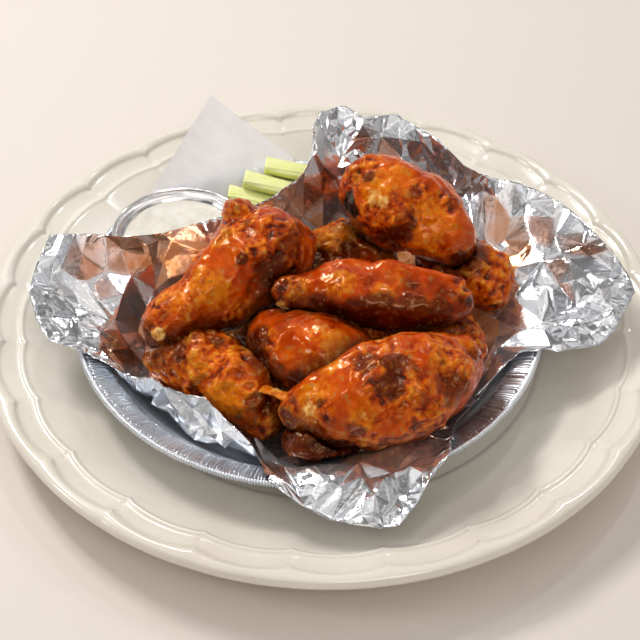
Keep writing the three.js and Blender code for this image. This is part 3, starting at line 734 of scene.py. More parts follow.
def unrolled(points, triangles):
    """Flat coordinates of the lining: its direction at the floor and its length along the wall."""
    edges, _ = edges_of(triangles)
    near = [[] for _ in points]
    for a, b in edges.tolist():
        near[a].append(b)
        near[b].append(a)
    centre = int(np.argmax([len(n) for n in near]))
    level = np.full(len(points), -1)
    level[centre] = 0
    ring = [centre]
    while ring:
        following = []
        for p in ring:
            for q in near[p]:
                if level[q] < 0:
                    level[q] = level[p] + 1
                    following.append(q)
        ring = following
    turn = np.arctan2(points[:, 1] - points[centre, 1], points[:, 0] - points[centre, 0])
    length = np.zeros(len(points))
    ups = [[q for q in near[p] if level[q] == level[p] + 1] for p in range(len(points))]
    for p in np.argsort(level, kind="stable").tolist():
        if level[p] < 1:
            continue
        below = [q for q in near[p] if level[q] == level[p] - 1]
        mate = below[0] if len(below) == 1 else next(q for q in below if len(ups[q]) == 1)
        length[p] = length[mate] + np.linalg.norm(points[p] - points[mate])
        if level[p] > 1:
            turn[p] = turn[mate]
    flat = np.stack([length * np.cos(turn), length * np.sin(turn)], axis=1)
    border = np.flatnonzero(level == level.max())
    border = border[np.argsort(turn[border])]
    return flat, border


def edge_points(triangles):
    """The points on the open edge of a sheet."""
    edges, owner = edges_of(triangles)
    single = np.bincount(owner.ravel(), minlength=len(edges)) == 1
    return np.unique(edges[single])


def nearest_index(points, others):
    gap = np.linalg.norm(points[:, None] - others[None], axis=2)
    return np.argmin(gap, axis=1), np.min(gap, axis=1)


class Sheet:
    """A curved sheet that is also known laid flat, so that points go from one form to the other."""

    def __init__(self, points, triangles, flat):
        self.points = points
        self.triangles = triangles
        self.flat = flat
        self.values = np.hstack([points, point_normals(points, triangles)])
        self.flat_tree = tree_of(np.column_stack([flat, np.zeros(len(flat))]), triangles.tolist())
        self.tree = tree_of(points, triangles.tolist())

    def face_under(self, u, v):
        """Where a flat point lies in the flat sheet, and in which triangle; none if outside."""
        place, _, face, _ = self.flat_tree.ray_cast(Vector((u, v, 1)), Vector((0, 0, -1)))
        return place, face

    def seen(self, pixels):
        """Flat places of the sheet at some pixels; a pixel beside the sheet is left out."""
        places = []
        for x, y in pixels:
            hit, face = seen_point(self.tree, x, y)
            if hit is not None:
                corners = self.triangles[face]
                places.append(shares_in(hit, *self.points[corners]) @ self.flat[corners])
        return np.array(places).reshape(-1, 2)

    def lifted(self, flat_points, values=None):
        """Values of the sheet at flat points; a point outside takes those of the nearest corner."""
        values = self.values if values is None else values
        made = np.empty((len(flat_points), values.shape[1]))
        for k, (u, v) in enumerate(flat_points):
            place, face = self.face_under(u, v)
            if face is None:
                nearest, _ = nearest_index(flat_points[k:k + 1], self.flat)
                made[k] = values[nearest[0]]
                continue
            corners = self.triangles[face]
            flat = np.column_stack([self.flat[corners], np.zeros(3)])
            made[k] = shares_in(np.array(place), *flat) @ values[corners]
        return made

    def inside(self, flat_points):
        return np.array([self.face_under(u, v)[1] is not None for u, v in flat_points], bool)


def shares_in(point, a, b, c):
    """The weights of a triangle's corners at a point of it."""
    across = np.cross(b - a, c - a)
    size = across @ across
    second = np.cross(point - a, c - a) @ across / size
    third = np.cross(b - a, point - a) @ across / size
    return np.array([1 - second - third, second, third])


def scattered(spacing, reach, random):
    """A jittered triangular grid of flat points."""
    rows = np.arange(-reach, reach, spacing * 0.87)
    columns = np.arange(-reach, reach, spacing)
    points = np.array([(u + (k % 2) * spacing / 2, v) for k, v in enumerate(rows) for u in columns])
    return points + random.uniform(-0.38, 0.38, points.shape) * spacing


def apart(points, others, distance):
    """The points that keep a distance from every other point."""
    return points[nearest_index(points, others)[1] > distance] if len(points) else points


def triangulated(points, border_count, lines=()):
    """Delaunay triangles of flat points; the first ones, in order, are the closed border.

    Where two of the given lines cross, a point is added. Returns all points and the triangles.
    """
    border = list(range(border_count))
    made = delaunay_2d_cdt([Vector(p) for p in points], list(lines), [border], 1, 1e-4)
    order = []
    extra = []
    for place, source in zip(made[0], made[3]):
        if source:
            order.append(source[0])
        else:
            order.append(len(points) + len(extra))
            extra.append(place)
    triangles = np.array([[order[k] for k in face] for face in made[2]])
    if extra:
        points = np.vstack([points, np.array(extra)])
    return points, triangles


def add_foil():
    base, base_faces = top_sheet("foil", FOIL_THICKNESS)
    flat, border = unrolled(base, base_faces)
    base = np.column_stack([base, flat])
    packed, faces = base, base_faces
    for _ in range(2):
        packed, faces = split_long_edges(packed, faces, 0)
    place = smoothed(packed[:, :3], faces, FOIL_BASE_ROUNDING, keep=edge_points(faces))
    sheet = Sheet(place, faces, packed[:, 3:])
    crinkled = foil_crinkle(sheet)
    random = np.random.default_rng(SEED)
    loop = foil_border(base[border], random)
    nodes, height, facets = foil_facets(sheet, crinkled, loop, random)
    values = sheet.lifted(nodes)
    points = values[:, :3] + values[:, 3:] * height[:, None]
    # Each facet's metal is made darker or lighter at random: painted reflections of dark and bright parts
    # of the room.
    painted_facet_reflection = random.uniform(0, 1, len(facets))
    owner = np.arange(len(facets))
    packed = np.column_stack([points, nodes])
    for _ in range(4):
        packed, facets, owner = split_long_edges(packed, facets, FOIL_LONGEST_EDGE, owner)
    sharp = crinkled(packed[:, 3:], False)
    sharp[edge_points(facets)] = True
    points = smoothed(packed[:, :3], facets, FOIL_ROUNDING, keep=sharp)
    points = points + point_normals(points, facets) * (FOIL_BEND * noise(points, 14, 41))[:, None]
    oil_and_reflection = oil_and_reflection_on_foil(sheet, points[facets].mean(axis=1))
    oil_and_reflection += OIL_AND_REFLECTION_FACET_SHARE * (facet_means(oil_and_reflection, owner) - oil_and_reflection)
    face_marks = {"oil_and_reflection": oil_and_reflection[:, 0], "yellow": oil_and_reflection[:, 1], "painted_facet_reflection": painted_facet_reflection[owner]}
    piece = add_piece("crumpled_foil", points, facets, foil_metal(), ["foil"],
                      face_marks=face_marks)
    piece.data.set_sharp_from_angle(angle=FOIL_CREASE_ANGLE)
    thin_sheet(piece, FOIL_SHEET)


def foil_border(corners, random):
    """The free edge in flat coordinates: torn in small teeth at the upper left, else crinkled."""
    left, behind, above = FOIL_TORN
    loop = []
    for start, end in zip(corners, np.roll(corners, -1, axis=0)):
        torn = max(start[0], end[0]) < left and min(start[1], end[1]) > behind and start[2] > above
        step = FOIL_TOOTH if torn else FOIL_BORDER_STEP
        count = max(1, round(np.linalg.norm(end[3:] - start[3:]) / step))
        for k in range(count):
            point = start[3:] + (end[3:] - start[3:]) * k / count
            wander = FOIL_BORDER_WANDER
            push = FOIL_TOOTH_DEPTH * ((k % 2) - 0.5) if torn else random.uniform(-wander, wander)
            loop.append(point + point / np.linalg.norm(point) * push)
    return np.array(loop)


def crease_corners(sheet, loop):
    """Corners along the creases, their heights, and the crease lines as pairs of corner numbers."""
    corners = [*loop]
    heights = [0.0] * len(loop)
    lines = []
    for rise, *pixels in CREASES:
        previous = None
        for place in sheet.seen(pixels):
            known = np.array(corners)
            nearest, gap = nearest_index(place[None], known)
            if gap[0] < FOIL_SNAP:
                current = int(nearest[0])
            else:
                current = len(corners)
                corners.append(place)
                heights.append(rise)
            if previous is not None and current != previous:
                lines.append((previous, current))
            previous = current
    return np.array(corners), np.array(heights), lines


def foil_facets(sheet, crinkled, loop, random):
    """All corners of the foil's facets in flat coordinates, their heights, and the facets."""
    nodes, height, lines = crease_corners(sheet, loop)
    height[:len(loop)] = random.uniform(-0.35, 0.35, len(loop))
    crease_samples = np.vstack([nodes[a] + (nodes[b] - nodes[a]) * t
                                for a, b in lines for t in np.linspace(0, 1, 7)])
    reach = np.abs(sheet.flat).max()
    for size, (spacing, rise, clear, line_clear) in enumerate(FOIL_FACETS):
        points = scattered(spacing, reach, random)
        points = points[sheet.inside(points)]
        points = apart(apart(points, nodes, clear), crease_samples, line_clear)
        if size > 0:
            points = points[crinkled(points, size == 2)]
        known, known_height, facets = joined(nodes, height, len(loop), lines)
        under = Sheet(np.column_stack([known, np.zeros(len(known))]), facets, known)
        below = under.lifted(points, known_height[:, None])[:, 0]
        nodes = np.vstack([nodes, points])
        height = np.concatenate([height, below + rise * random.uniform(-1, 1, len(points))])
    return joined(nodes, height, len(loop), lines)


def joined(nodes, height, border_count, lines):
    """Corners with what is added where creases cross, their heights, and the facets between them."""
    known, facets = triangulated(nodes, border_count, lines)
    return known, np.concatenate([height, np.zeros(len(known) - len(nodes))]), facets


def foil_crinkle(sheet):
    """A test for flat points: whether the foil has medium, or small, facets there."""
    spots = [(sheet.seen([(x, y)]), radius) for x, y, radius in CRINKLES]
    spots = [(spot[0], radius) for spot, radius in spots if len(spot)]
    middle = np.array([spot for spot, _ in spots])
    radius = np.array([radius for _, radius in spots])

    def test(points, small):
        if not len(points):
            return np.zeros(0, bool)
        gap = np.linalg.norm(points[:, None] - middle[None], axis=2) / radius
        ragged = noise(np.column_stack([points, 0 * points[:, 0]]), 11, 42)
        near = gap.min(axis=1) + 0.35 * ragged < (0.85 if small else 1.15)
        return near if small else near | (ragged > CRINKLE_ELSEWHERE)

    return test


def oil_and_reflection_on_foil(sheet, places):
    """How much oil and painted wing reflection lies at some places of the foil, and how yellow it is."""
    oil_and_reflection = np.zeros((len(places), 2))

    def add(cover, yellow):
        oil_and_reflection[:, 1] = np.where(cover > oil_and_reflection[:, 0], yellow, oil_and_reflection[:, 1])
        oil_and_reflection[:, 0] = np.maximum(oil_and_reflection[:, 0], cover)

    ragged = 0.35 * layered_noise(places, 7, 43)
    for x, y, radius, yellow in OIL_AND_REFLECTIONS:
        hit, _ = seen_point(sheet.tree, x, y)
        if hit is not None:
            gap = np.linalg.norm(places - hit, axis=1) / (radius * OIL_AND_REFLECTION_SPREAD)
            add(OIL_AND_REFLECTION_STRENGTH * smooth_step(1.0, 0.45, gap + ragged), yellow)
    centre, _ = pan_centre()
    reach = np.linalg.norm(places[:, :2] - centre, axis=1)
    turn = np.degrees(np.arctan2(places[:, 1] - centre[1], places[:, 0] - centre[0]))
    bare = (turn > BARE_WALL[0]) & (turn < BARE_WALL[1]) & (reach > BARE_WALL_REACH)
    shift = OIL_AND_REFLECTION_POOL["ragged"] * ragged
    pool = smooth_step(*OIL_AND_REFLECTION_POOL["heights"], places[:, 2] + shift)
    pool = pool * smooth_step(*OIL_AND_REFLECTION_POOL["reach"], reach + shift)
    add(np.where(bare, 0, pool), OIL_AND_REFLECTION_POOL["yellow"])
    return oil_and_reflection


def facet_means(values, owner):
    """Values of the pieces of facets, each replaced with the mean over its whole facet."""
    total = np.zeros((owner.max() + 1, values.shape[1]))
    np.add.at(total, owner, values)
    count = np.maximum(np.bincount(owner), 1)
    return (total / count[:, None])[owner]


def foil_metal():
    paint = Paint("crumpled_foil")
    yellow = paint.mark("yellow")
    # Facet by facet, darker and lighter metal: painted reflections of dark and bright parts of the room.
    metal_and_reflection = paint.ramp(paint.mark("painted_facet_reflection"), [
        (0.0, (0.66, 0.69, 0.75)), (0.5, (0.86, 0.88, 0.92)), (1.0, (0.96, 0.97, 0.99))])
    # Oil on the foil, with the wings' reflection painted into it, brown to amber.
    oil_and_reflected_wings = paint.mix(yellow, linear(182, 108, 48), linear(216, 134, 10))
    streaks = paint.spread(paint.noise(7, detail=4), 0.3, 0.7, 0.75, 1.0)
    cover = paint.product(paint.mark("oil_and_reflection"), streaks)
    return paint.feed(
        Base_Color=paint.mix(cover, metal_and_reflection, oil_and_reflected_wings),
        Metallic=paint.spread(paint.product(yellow, cover), 0.25, 0.8, FOIL_METALLIC, 0.2),
        Roughness=paint.spread(paint.noise(14, detail=4), 0.3, 0.7, 0.08, 0.18),
        Normal=paint.bump(paint.noise(2.4, detail=3), 0.09, paint.bump(paint.noise(9), 0.25)))


# -------- wings

WING_VOXEL = 0.62
HIDDEN_VOXEL = 0.9
WING_ROUNDING = 12
FIRST_WING_SEED = 101
# Each wing: how crusty it is from 0 to 1, how yellow or red, and what shows on it. Lumps are pixel,
# radius and height in millimetres; ridges and grooves are half width, height and the pixels that they
# pass; golden, dark, char and pale patches are pixel, radius and strength; crusty ones have no strength.
# The dark patches are partly darker crust and partly painted shade on undersides, in holes and in gaps.
WINGS = {
    "wing_centre": {
        "crust": 0.15, "tint": -0.25,
        "lumps": [(285, 286, 5, 1.2), (294, 283, 4, 1), (281, 296, 4, 1), (302, 281, 3, 0.8),
            (466, 290, 5, 0.8), (340, 285, 11, 1)],
        "ridges": [(3.2, 1.3, (327, 266), (354, 263), (388, 265), (421, 273), (459, 283)),
            (3.4, -1.5, (376, 280), (402, 284), (430, 292), (455, 299)),
            (4.5, 0.9, (330, 294), (373, 303), (411, 308), (445, 309)),
            (2.5, -0.8, (306, 300), (322, 309), (345, 316))],
        "golden": [(340, 284, 7, 0.6), (383, 292, 5, 0.7), (421, 305, 5, 0.6), (300, 290, 5, 0.5),
            (440, 303, 4, 0.5), (400, 276, 5, 0.3)],
        "dark_and_shade": [(318, 303, 5, 0.8), (335, 312, 6, 0.9), (356, 316, 8, 1), (382, 317, 10, 1.1),
            (412, 316, 10, 1.1), (440, 314, 8, 0.9), (462, 306, 5, 0.6), (400, 289, 3, 0.4),
            (412, 282, 4, 0.4), (436, 286, 4, 0.4)],
        "pale": [(283, 305, 2.5, 1)],
        "crusty": [(284, 292, 8), (298, 284, 6), (465, 292, 7)],
    },
    "wing_left": {
        "crust": 0.35, "tint": 0.3,
        "lumps": [(235, 208, 5, 1.2), (160, 335, 4, 1.2), (148, 322, 5, 1), (154, 345, 4, 1.2),
            (290, 240, 6, 1), (262, 220, 5, 0.8), (246, 312, 6, 0.9), (205, 250, 6, 0.8),
            (280, 228, 5, 0.8), (250, 245, 5, 0.8)],
        "ridges": [(3.5, -1.1, (252, 238), (262, 262), (258, 290)),
            (3.5, 0.8, (232, 224), (214, 246), (196, 268)), (3.5, 0.8, (186, 300), (210, 312), (240, 316))],
        "golden": [(213, 291, 8, 0.9), (200, 283, 6, 0.7), (222, 240, 5, 0.6), (226, 232, 4, 0.6),
            (250, 312, 5, 0.6), (178, 300, 7, 0.4), (236, 308, 4, 0.5)],
        "dark_and_shade": [(242, 259, 3, 1), (272, 272, 8, 0.8), (290, 243, 7, 0.6), (262, 288, 7, 0.5),
            (145, 330, 5, 0.7), (300, 228, 4, 0.5), (233, 206, 5, 0.4), (246, 222, 3, 0.6)],
        "pale": [(159, 333, 2.6, 1)],
        "crusty": [(236, 222, 12), (285, 236, 12), (152, 336, 9), (262, 250, 8), (234, 206, 6)],
    },
    "wing_back": {
        "crust": 0.22, "tint": 0.2,
        "lumps": [(367, 161, 5, 1.6), (354, 166, 3.5, 1.2), (378, 176, 3.5, 1), (344, 184, 3.5, 1.2),
            (371, 223, 8, 1.8), (406, 216, 5, 1.5), (398, 224, 4, 1), (417, 192, 2, 0.8),
            (422, 197, 2, 0.7), (411, 188, 2, 0.7), (446, 199, 2.5, 0.9), (454, 203, 2.5, 0.9),
            (352, 204, 4, 0.8), (430, 232, 12, 1.2), (392, 166, 6, 1), (386, 200, 6, 0.6)],
        "ridges": [(3, -2.6, (414, 203), (417, 215), (411, 227), (400, 237), (388, 243)),
            (2.2, -1.2, (362, 172), (370, 178), (366, 184)),
            (3, 1, (392, 166), (412, 172), (432, 186), (452, 198))],
        "golden": [(376, 190, 7, 1), (427, 238, 8, 0.6), (431, 214, 8, 0.6), (355, 178, 3, 0.8),
            (398, 180, 8, 0.5), (440, 226, 6, 0.5)],
        "dark_and_shade": [(389, 239, 6, 1.1), (402, 234, 5, 1), (412, 224, 3, 0.8), (459, 257, 4, 1),
            (368, 176, 3, 0.9), (416, 192, 3, 0.5), (405, 214, 4, 0.5), (366, 232, 6, 0.5),
            (452, 204, 4, 0.5)],
        "char": [(351, 201, 4.4, 1.3), (353, 210, 4, 1.3), (348, 206, 3.4, 1.2)],
        "pale": [(374, 196, 3.4, 0.6), (384, 203, 2.6, 0.7)],
        "crusty": [(360, 170, 11), (372, 222, 10), (405, 216, 8), (418, 192, 5), (450, 202, 7)],
    },
    "wing_front": {
        "crust": 0.38, "tint": 0.3,
        "lumps": [(354, 396, 9, 1.5), (285, 414, 5, 1.2), (300, 396, 5, 0.8), (424, 337, 4, 1),
            (378, 372, 7, 1), (449, 356, 6, 1), (474, 346, 5, 1.2), (460, 372, 5, 0.8), (322, 412, 7, 0.9),
            (430, 420, 8, 0.8), (390, 436, 7, 0.7), (466, 340, 4, 1)],
        "ridges": [(2.6, -1.1, (303, 397), (313, 414), (318, 430)), (4, 1.4, (324, 372), (300, 392)),
            (3.5, -1.3, (345, 366), (368, 352), (394, 350)),
            (3.5, -1.1, (392, 376), (388, 392), (376, 404)), (3.5, 1, (424, 352), (440, 340), (462, 338)),
            (3.5, -1.2, (436, 372), (452, 384), (450, 400))],
        "golden": [(311, 400, 6, 0.9), (362, 417, 5, 0.7), (332, 366, 5, 0.7), (440, 362, 5, 0.6),
            (306, 418, 5, 0.7), (466, 344, 4, 0.6), (436, 412, 6, 0.4), (320, 390, 5, 0.5),
            (400, 445, 6, 0.5)],
        "dark_and_shade": [(366, 360, 6, 0.8), (393, 360, 6, 0.9), (390, 386, 6, 0.9), (356, 428, 4, 0.7),
            (320, 404, 2.2, 0.9), (287, 412, 4, 0.6), (457, 390, 7, 0.8), (446, 384, 5, 0.6),
            (408, 366, 4, 0.6), (474, 356, 4, 0.7), (418, 402, 5, 0.4), (330, 420, 3, 0.5)],
        "pale": [(309, 408, 3, 0.6), (364, 416, 2, 0.5)],
        "crusty": [(375, 358, 12), (395, 384, 12), (450, 360, 12), (285, 415, 9), (365, 445, 10),
            (430, 420, 11), (318, 408, 7)],
    },
    "wing_middle": {
        "crust": 0.05, "tint": 0.1,
        "lumps": [(296, 330, 11, 1), (262, 338, 5, 0.8), (316, 356, 7, 0.6)],
        "ridges": [(3.5, 0.8, (276, 326), (300, 336), (318, 352)),
            (4, -0.9, (286, 352), (298, 366), (300, 382)), (4, 1, (318, 324), (336, 340), (342, 354))],
        "golden": [(334, 342, 6, 0.8), (338, 356, 5, 0.8), (322, 334, 6, 0.4), (312, 364, 7, 0.4)],
        "dark_and_shade": [(259, 336, 6, 0.8), (264, 358, 6, 0.8), (276, 372, 6, 0.7), (298, 384, 6, 0.9),
            (346, 322, 5, 0.5), (284, 326, 4, 0.4)],
        "crusty": [(262, 345, 9)],
    },
    "wing_front_left": {
        "crust": 0.6, "tint": 0.6,
        "lumps": [(190, 336, 5, 1.2), (156, 356, 4, 1.4), (164, 350, 4, 1.2), (172, 366, 5, 1),
            (258, 372, 6, 1), (236, 362, 7, 1), (203, 350, 6, 1), (214, 392, 8, 0.9), (262, 392, 5, 0.8),
            (184, 384, 4, 0.9)],
        "ridges": [(3, 0.9, (252, 356), (266, 372)), (2.6, -1.1, (208, 334), (216, 348), (212, 366)),
            (2.6, -0.9, (176, 352), (186, 368), (182, 384))],
        "golden": [(221, 397, 7, 1), (232, 408, 6, 0.8), (194, 368, 6, 0.7), (163, 352, 4, 0.4),
            (246, 390, 6, 0.4)],
        "dark_and_shade": [(194, 388, 3, 0.9), (217, 340, 3.5, 0.8), (256, 364, 4, 0.5), (200, 378, 3, 0.5),
            (178, 356, 3, 0.7), (262, 404, 6, 0.7), (246, 420, 6, 0.6)],
    },
    "wing_back_right": {"voxel": HIDDEN_VOXEL, "crust": 0.85, "tint": 0.35},
    "wing_back_small": {
        "voxel": HIDDEN_VOXEL, "crust": 0.7, "tint": 0.6,
        "lumps": [(323, 240, 6, 1.4), (340, 236, 5, 1.2), (336, 254, 5, 1)],
        "golden": [(326, 236, 6, 1), (344, 232, 5, 0.9), (334, 248, 5, 0.6)],
        "dark_and_shade": [(330, 262, 6, 0.9), (350, 256, 6, 0.9), (312, 256, 5, 0.8)],
    },
    "wing_right_low": {"voxel": HIDDEN_VOXEL, "crust": 0.7, "tint": 0.3},
    "wing_front_low": {
        "voxel": HIDDEN_VOXEL, "crust": 0.95, "tint": -0.4,
        "dark_and_shade": [(300, 446, 8, 0.7), (316, 456, 8, 0.8), (290, 440, 7, 0.6)],
    },
}
# How much further than their radius lumps, crusty spots and patches reach as they fade.
LUMP_SPREAD = 1.4
CRUSTY_SPREAD = 1.5
PATCH_SPREAD = 1.7
SWELL = {"size": 15.0, "height": 1.5}
BLISTER = {"size": 4.5, "height": 2.0}
CRUMB = {"size": 2.3, "height": 0.8}
GRAIN = {"size": 2.9, "height": 0.6}
FOLD = {"size": 7.5, "height": 1.6}
# Sauce and painted shade: within a distance of another wing, on faces that turn down, and low in the pan.
SAUCE_SHADE_DISTANCE = 7.0
SAUCE_SHADE_TURN = (0.1, -0.7)
SAUCE_SHADE_HEIGHTS = (30, 14)
SAUCE_SHADE_SHARES = (0.85, 0.55, 0.55)
# The strip of skin: the pixels of its ends, and its size in millimetres. Its ends are sunk into the
# two wings that it joins.
STRIP = {"from": (264, 388), "to": (292, 401), "half_width": 2.4, "half_height": 1.0, "flare": 0.4,
         "sunk": 3.2, "lift": 1.4, "rows": 24, "sides": 32}
# Marks for the strip of skin: it gets a little painted shade, the same all over, and no dark patches.
STRIP_MARKS = {"height": 0.75, "crusty": 0.7, "golden": 0.75, "sauce_and_shade": 0.12, "pale": 0.2,
               "tint": 0, "dark_and_shade": 0, "char": 0}
GLAZE_WEIGHT = 0.4
SHEEN_TINT = (1.0, 0.45, 0.06, 1)


def near_spot(points, tree, x, y, radius):
    """A round fall-off from 1 to 0 about the point of a surface that a pixel shows."""
    hit, _ = seen_point(tree, x, y)
    if hit is None:
        return np.zeros(len(points))
    gap = np.linalg.norm(points - hit, axis=1) / radius
    return np.clip(1 - gap * gap, 0, 1) ** 2


def near_line(points, tree, pixels, half_width):
    """A fall-off from 1 to 0 about the line over a surface that some pixels show."""
    hits = seen_line(tree, pixels)
    nearest = np.full(len(points), 1e6)
    for start, end in zip(hits, hits[1:]):
        along = end - start
        share = np.clip((points - start) @ along / max(along @ along, 1e-9), 0, 1)
        foot = start + share[:, None] * along
        nearest = np.minimum(nearest, np.linalg.norm(points - foot, axis=1))
    return np.exp(-(nearest / half_width) ** 2)


def patches(points, tree, spots, ragged):
    """The strongest of several patches with ragged edges, from 0 to 1."""
    cover = np.zeros(len(points))
    for x, y, radius, strength in spots:
        fall = near_spot(points, tree, x, y, radius * PATCH_SPREAD)
        cover = np.maximum(cover, strength * smooth_step(0.1, 0.75, fall + 0.25 * ragged * (fall > 0)))
    return cover


def add_wing(name, seed, material, trees):
    wing = WINGS[name]
    base, triangles = remeshed(name, wing.get("voxel", WING_VOXEL))
    base = smoothed(base, triangles, WING_ROUNDING)
    tree = tree_of(base, triangles.tolist())
    base_normal = point_normals(base, triangles)
    rise = SWELL["height"] * noise(base, SWELL["size"], seed)
    for x, y, radius, height in wing.get("lumps", []):
        rise += height * near_spot(base, tree, x, y, radius * LUMP_SPREAD)
    for half_width, height, *pixels in wing.get("ridges", []):
        rise += height * near_line(base, tree, pixels, half_width)
    points = smoothed(base + base_normal * rise[:, None], triangles, 2)
    normal = point_normals(points, triangles)
    crusty = smooth_step(-0.7, 0.5, noise(points, 13, seed + 2) + 2 * wing["crust"] - 1)
    for x, y, radius in wing.get("crusty", []):
        spot = near_spot(base, tree, x, y, radius * CRUSTY_SPREAD)
        crusty = np.maximum(crusty, smooth_step(0, 0.8, spot))
    rise, level = crust_relief(points, crusty, seed)
    points = points + normal * rise[:, None]
    ragged = layered_noise(base, 5, seed + 10)
    marks = {
        "height": level,
        "crusty": crusty,
        "sauce_and_shade": pooled_sauce_and_shade(base, base_normal, name, trees),
        "tint": np.full(len(points), wing["tint"]),
    }
    for patch in ("golden", "dark_and_shade", "char", "pale"):
        marks[patch] = patches(base, tree, wing.get(patch, []), ragged)
    add_piece(name + "_skin", points, triangles, material, [name], marks)


def crust_relief(points, crusty, seed):
    """How far fried skin stands out in millimetres, and its level from 0, in creases, to 1."""
    warped = points + 1.2 * np.stack([noise(points, 3.2, seed + k) for k in (3, 4, 5)], axis=1)
    fold = 0.3 - np.abs(noise(points, FOLD["size"], seed + 1))
    blister = bubbles(warped, BLISTER["size"], seed + 6) - 0.8
    crumb = bubbles(warped, CRUMB["size"], seed + 7) - 0.8
    rough = layered_noise(warped, GRAIN["size"], seed + 8, layers=2)
    uneven = smooth_step(-0.5, 0.6, noise(points, 6, seed + 9))
    rise = (FOLD["height"] * fold * (0.4 + 0.6 * crusty)
            + BLISTER["height"] * blister * (0.06 + 0.94 * crusty) * uneven
            + CRUMB["height"] * crumb * crusty * (0.35 + 0.65 * uneven)
            + GRAIN["height"] * rough * (0.06 + 0.94 * crusty))
    level = 0.5 + 0.5 * fold + (0.9 * blister * uneven + 0.7 * crumb + 0.45 * rough) * (0.3 + 0.7 * crusty)
    return rise, level


def pooled_sauce_and_shade(points, normal, name, trees):
    """Where sauce gathers and shade is painted in: low down, underneath and between wings, 0 to 1."""
    gap = np.full(len(points), SAUCE_SHADE_DISTANCE * 2)
    for other, tree in trees.items():
        if other != name and boxes_near(name, other):
            reach = [tree.find_nearest(Vector(p), SAUCE_SHADE_DISTANCE * 2)[3] for p in points]
            gap = np.minimum(gap, [SAUCE_SHADE_DISTANCE * 2 if r is None else r for r in reach])
    between, under, low = SAUCE_SHADE_SHARES
    sauce_and_shade = between * np.exp(-(gap / SAUCE_SHADE_DISTANCE) ** 2)
    sauce_and_shade += under * smooth_step(*SAUCE_SHADE_TURN, normal[:, 2])
    return np.clip(sauce_and_shade + low * smooth_step(*SAUCE_SHADE_HEIGHTS, points[:, 2]), 0, 1)


def add_skin_strip(material, trees):
    """The strip of yellow skin stretched between the two front wings."""
    start, inner_start = strip_end(trees["wing_front_left"], STRIP["from"])
    end, inner_end = strip_end(trees["wing_front"], STRIP["to"])
    along = (end - start) / np.linalg.norm(end - start)
    side = level_side(along)
    rise = np.cross(side, along)
    crest = (start + end) / 2 + rise * STRIP["lift"]
    turn = circle(STRIP["sides"])
    rows = []
    for share in np.linspace(0, 1, STRIP["rows"]):
        rest = 1 - share
        centre = inner_start * rest ** 2 + crest * 2 * share * rest + inner_end * share ** 2
        spread = 1 + STRIP["flare"] * (2 * share - 1) ** 2
        rows.append(centre - np.outer(np.cos(turn) * spread * STRIP["half_width"], side)
                    + np.outer(np.sin(turn) * STRIP["half_height"], rise))
    points = np.vstack(rows)
    middle = np.repeat([row.mean(axis=0) for row in rows], STRIP["sides"], axis=0)
    points += (points - middle) * (0.35 * layered_noise(points, 4, 121))[:, None]
    last = len(points) - STRIP["sides"]
    faces = flipped(grid_faces(len(rows), STRIP["sides"]))
    faces += [range(STRIP["sides"] - 1, -1, -1), range(last, len(points))]
    marks = {name: np.full(len(points), value) for name, value in STRIP_MARKS.items()}
    marks["height"] += 0.3 * noise(points, 3, 122)
    marks["golden"] += 0.4 * noise(points, 2.5, 123)
    add_piece("yellow_skin_strip", points, faces, material, ["wing_front_left"], marks)


def strip_end(tree, pixel):
    """The point of a wing that a pixel shows, and the strip's end inside the wing behind it."""
    place, normal, _, _ = tree.ray_cast(Vector(CAMERA_PLACE), Vector(pixel_ray(*pixel)))
    return np.array(place), np.array(place - normal * STRIP["sunk"])


def boxes_near(first, second):
    """Whether the boxes of two nodes come within reach of each other's pooled sauce and painted shade."""
    (low_a, high_a), (low_b, high_b) = box_of(first), box_of(second)
    return np.all(low_a - 2 * SAUCE_SHADE_DISTANCE < high_b) and np.all(low_b - 2 * SAUCE_SHADE_DISTANCE < high_a)


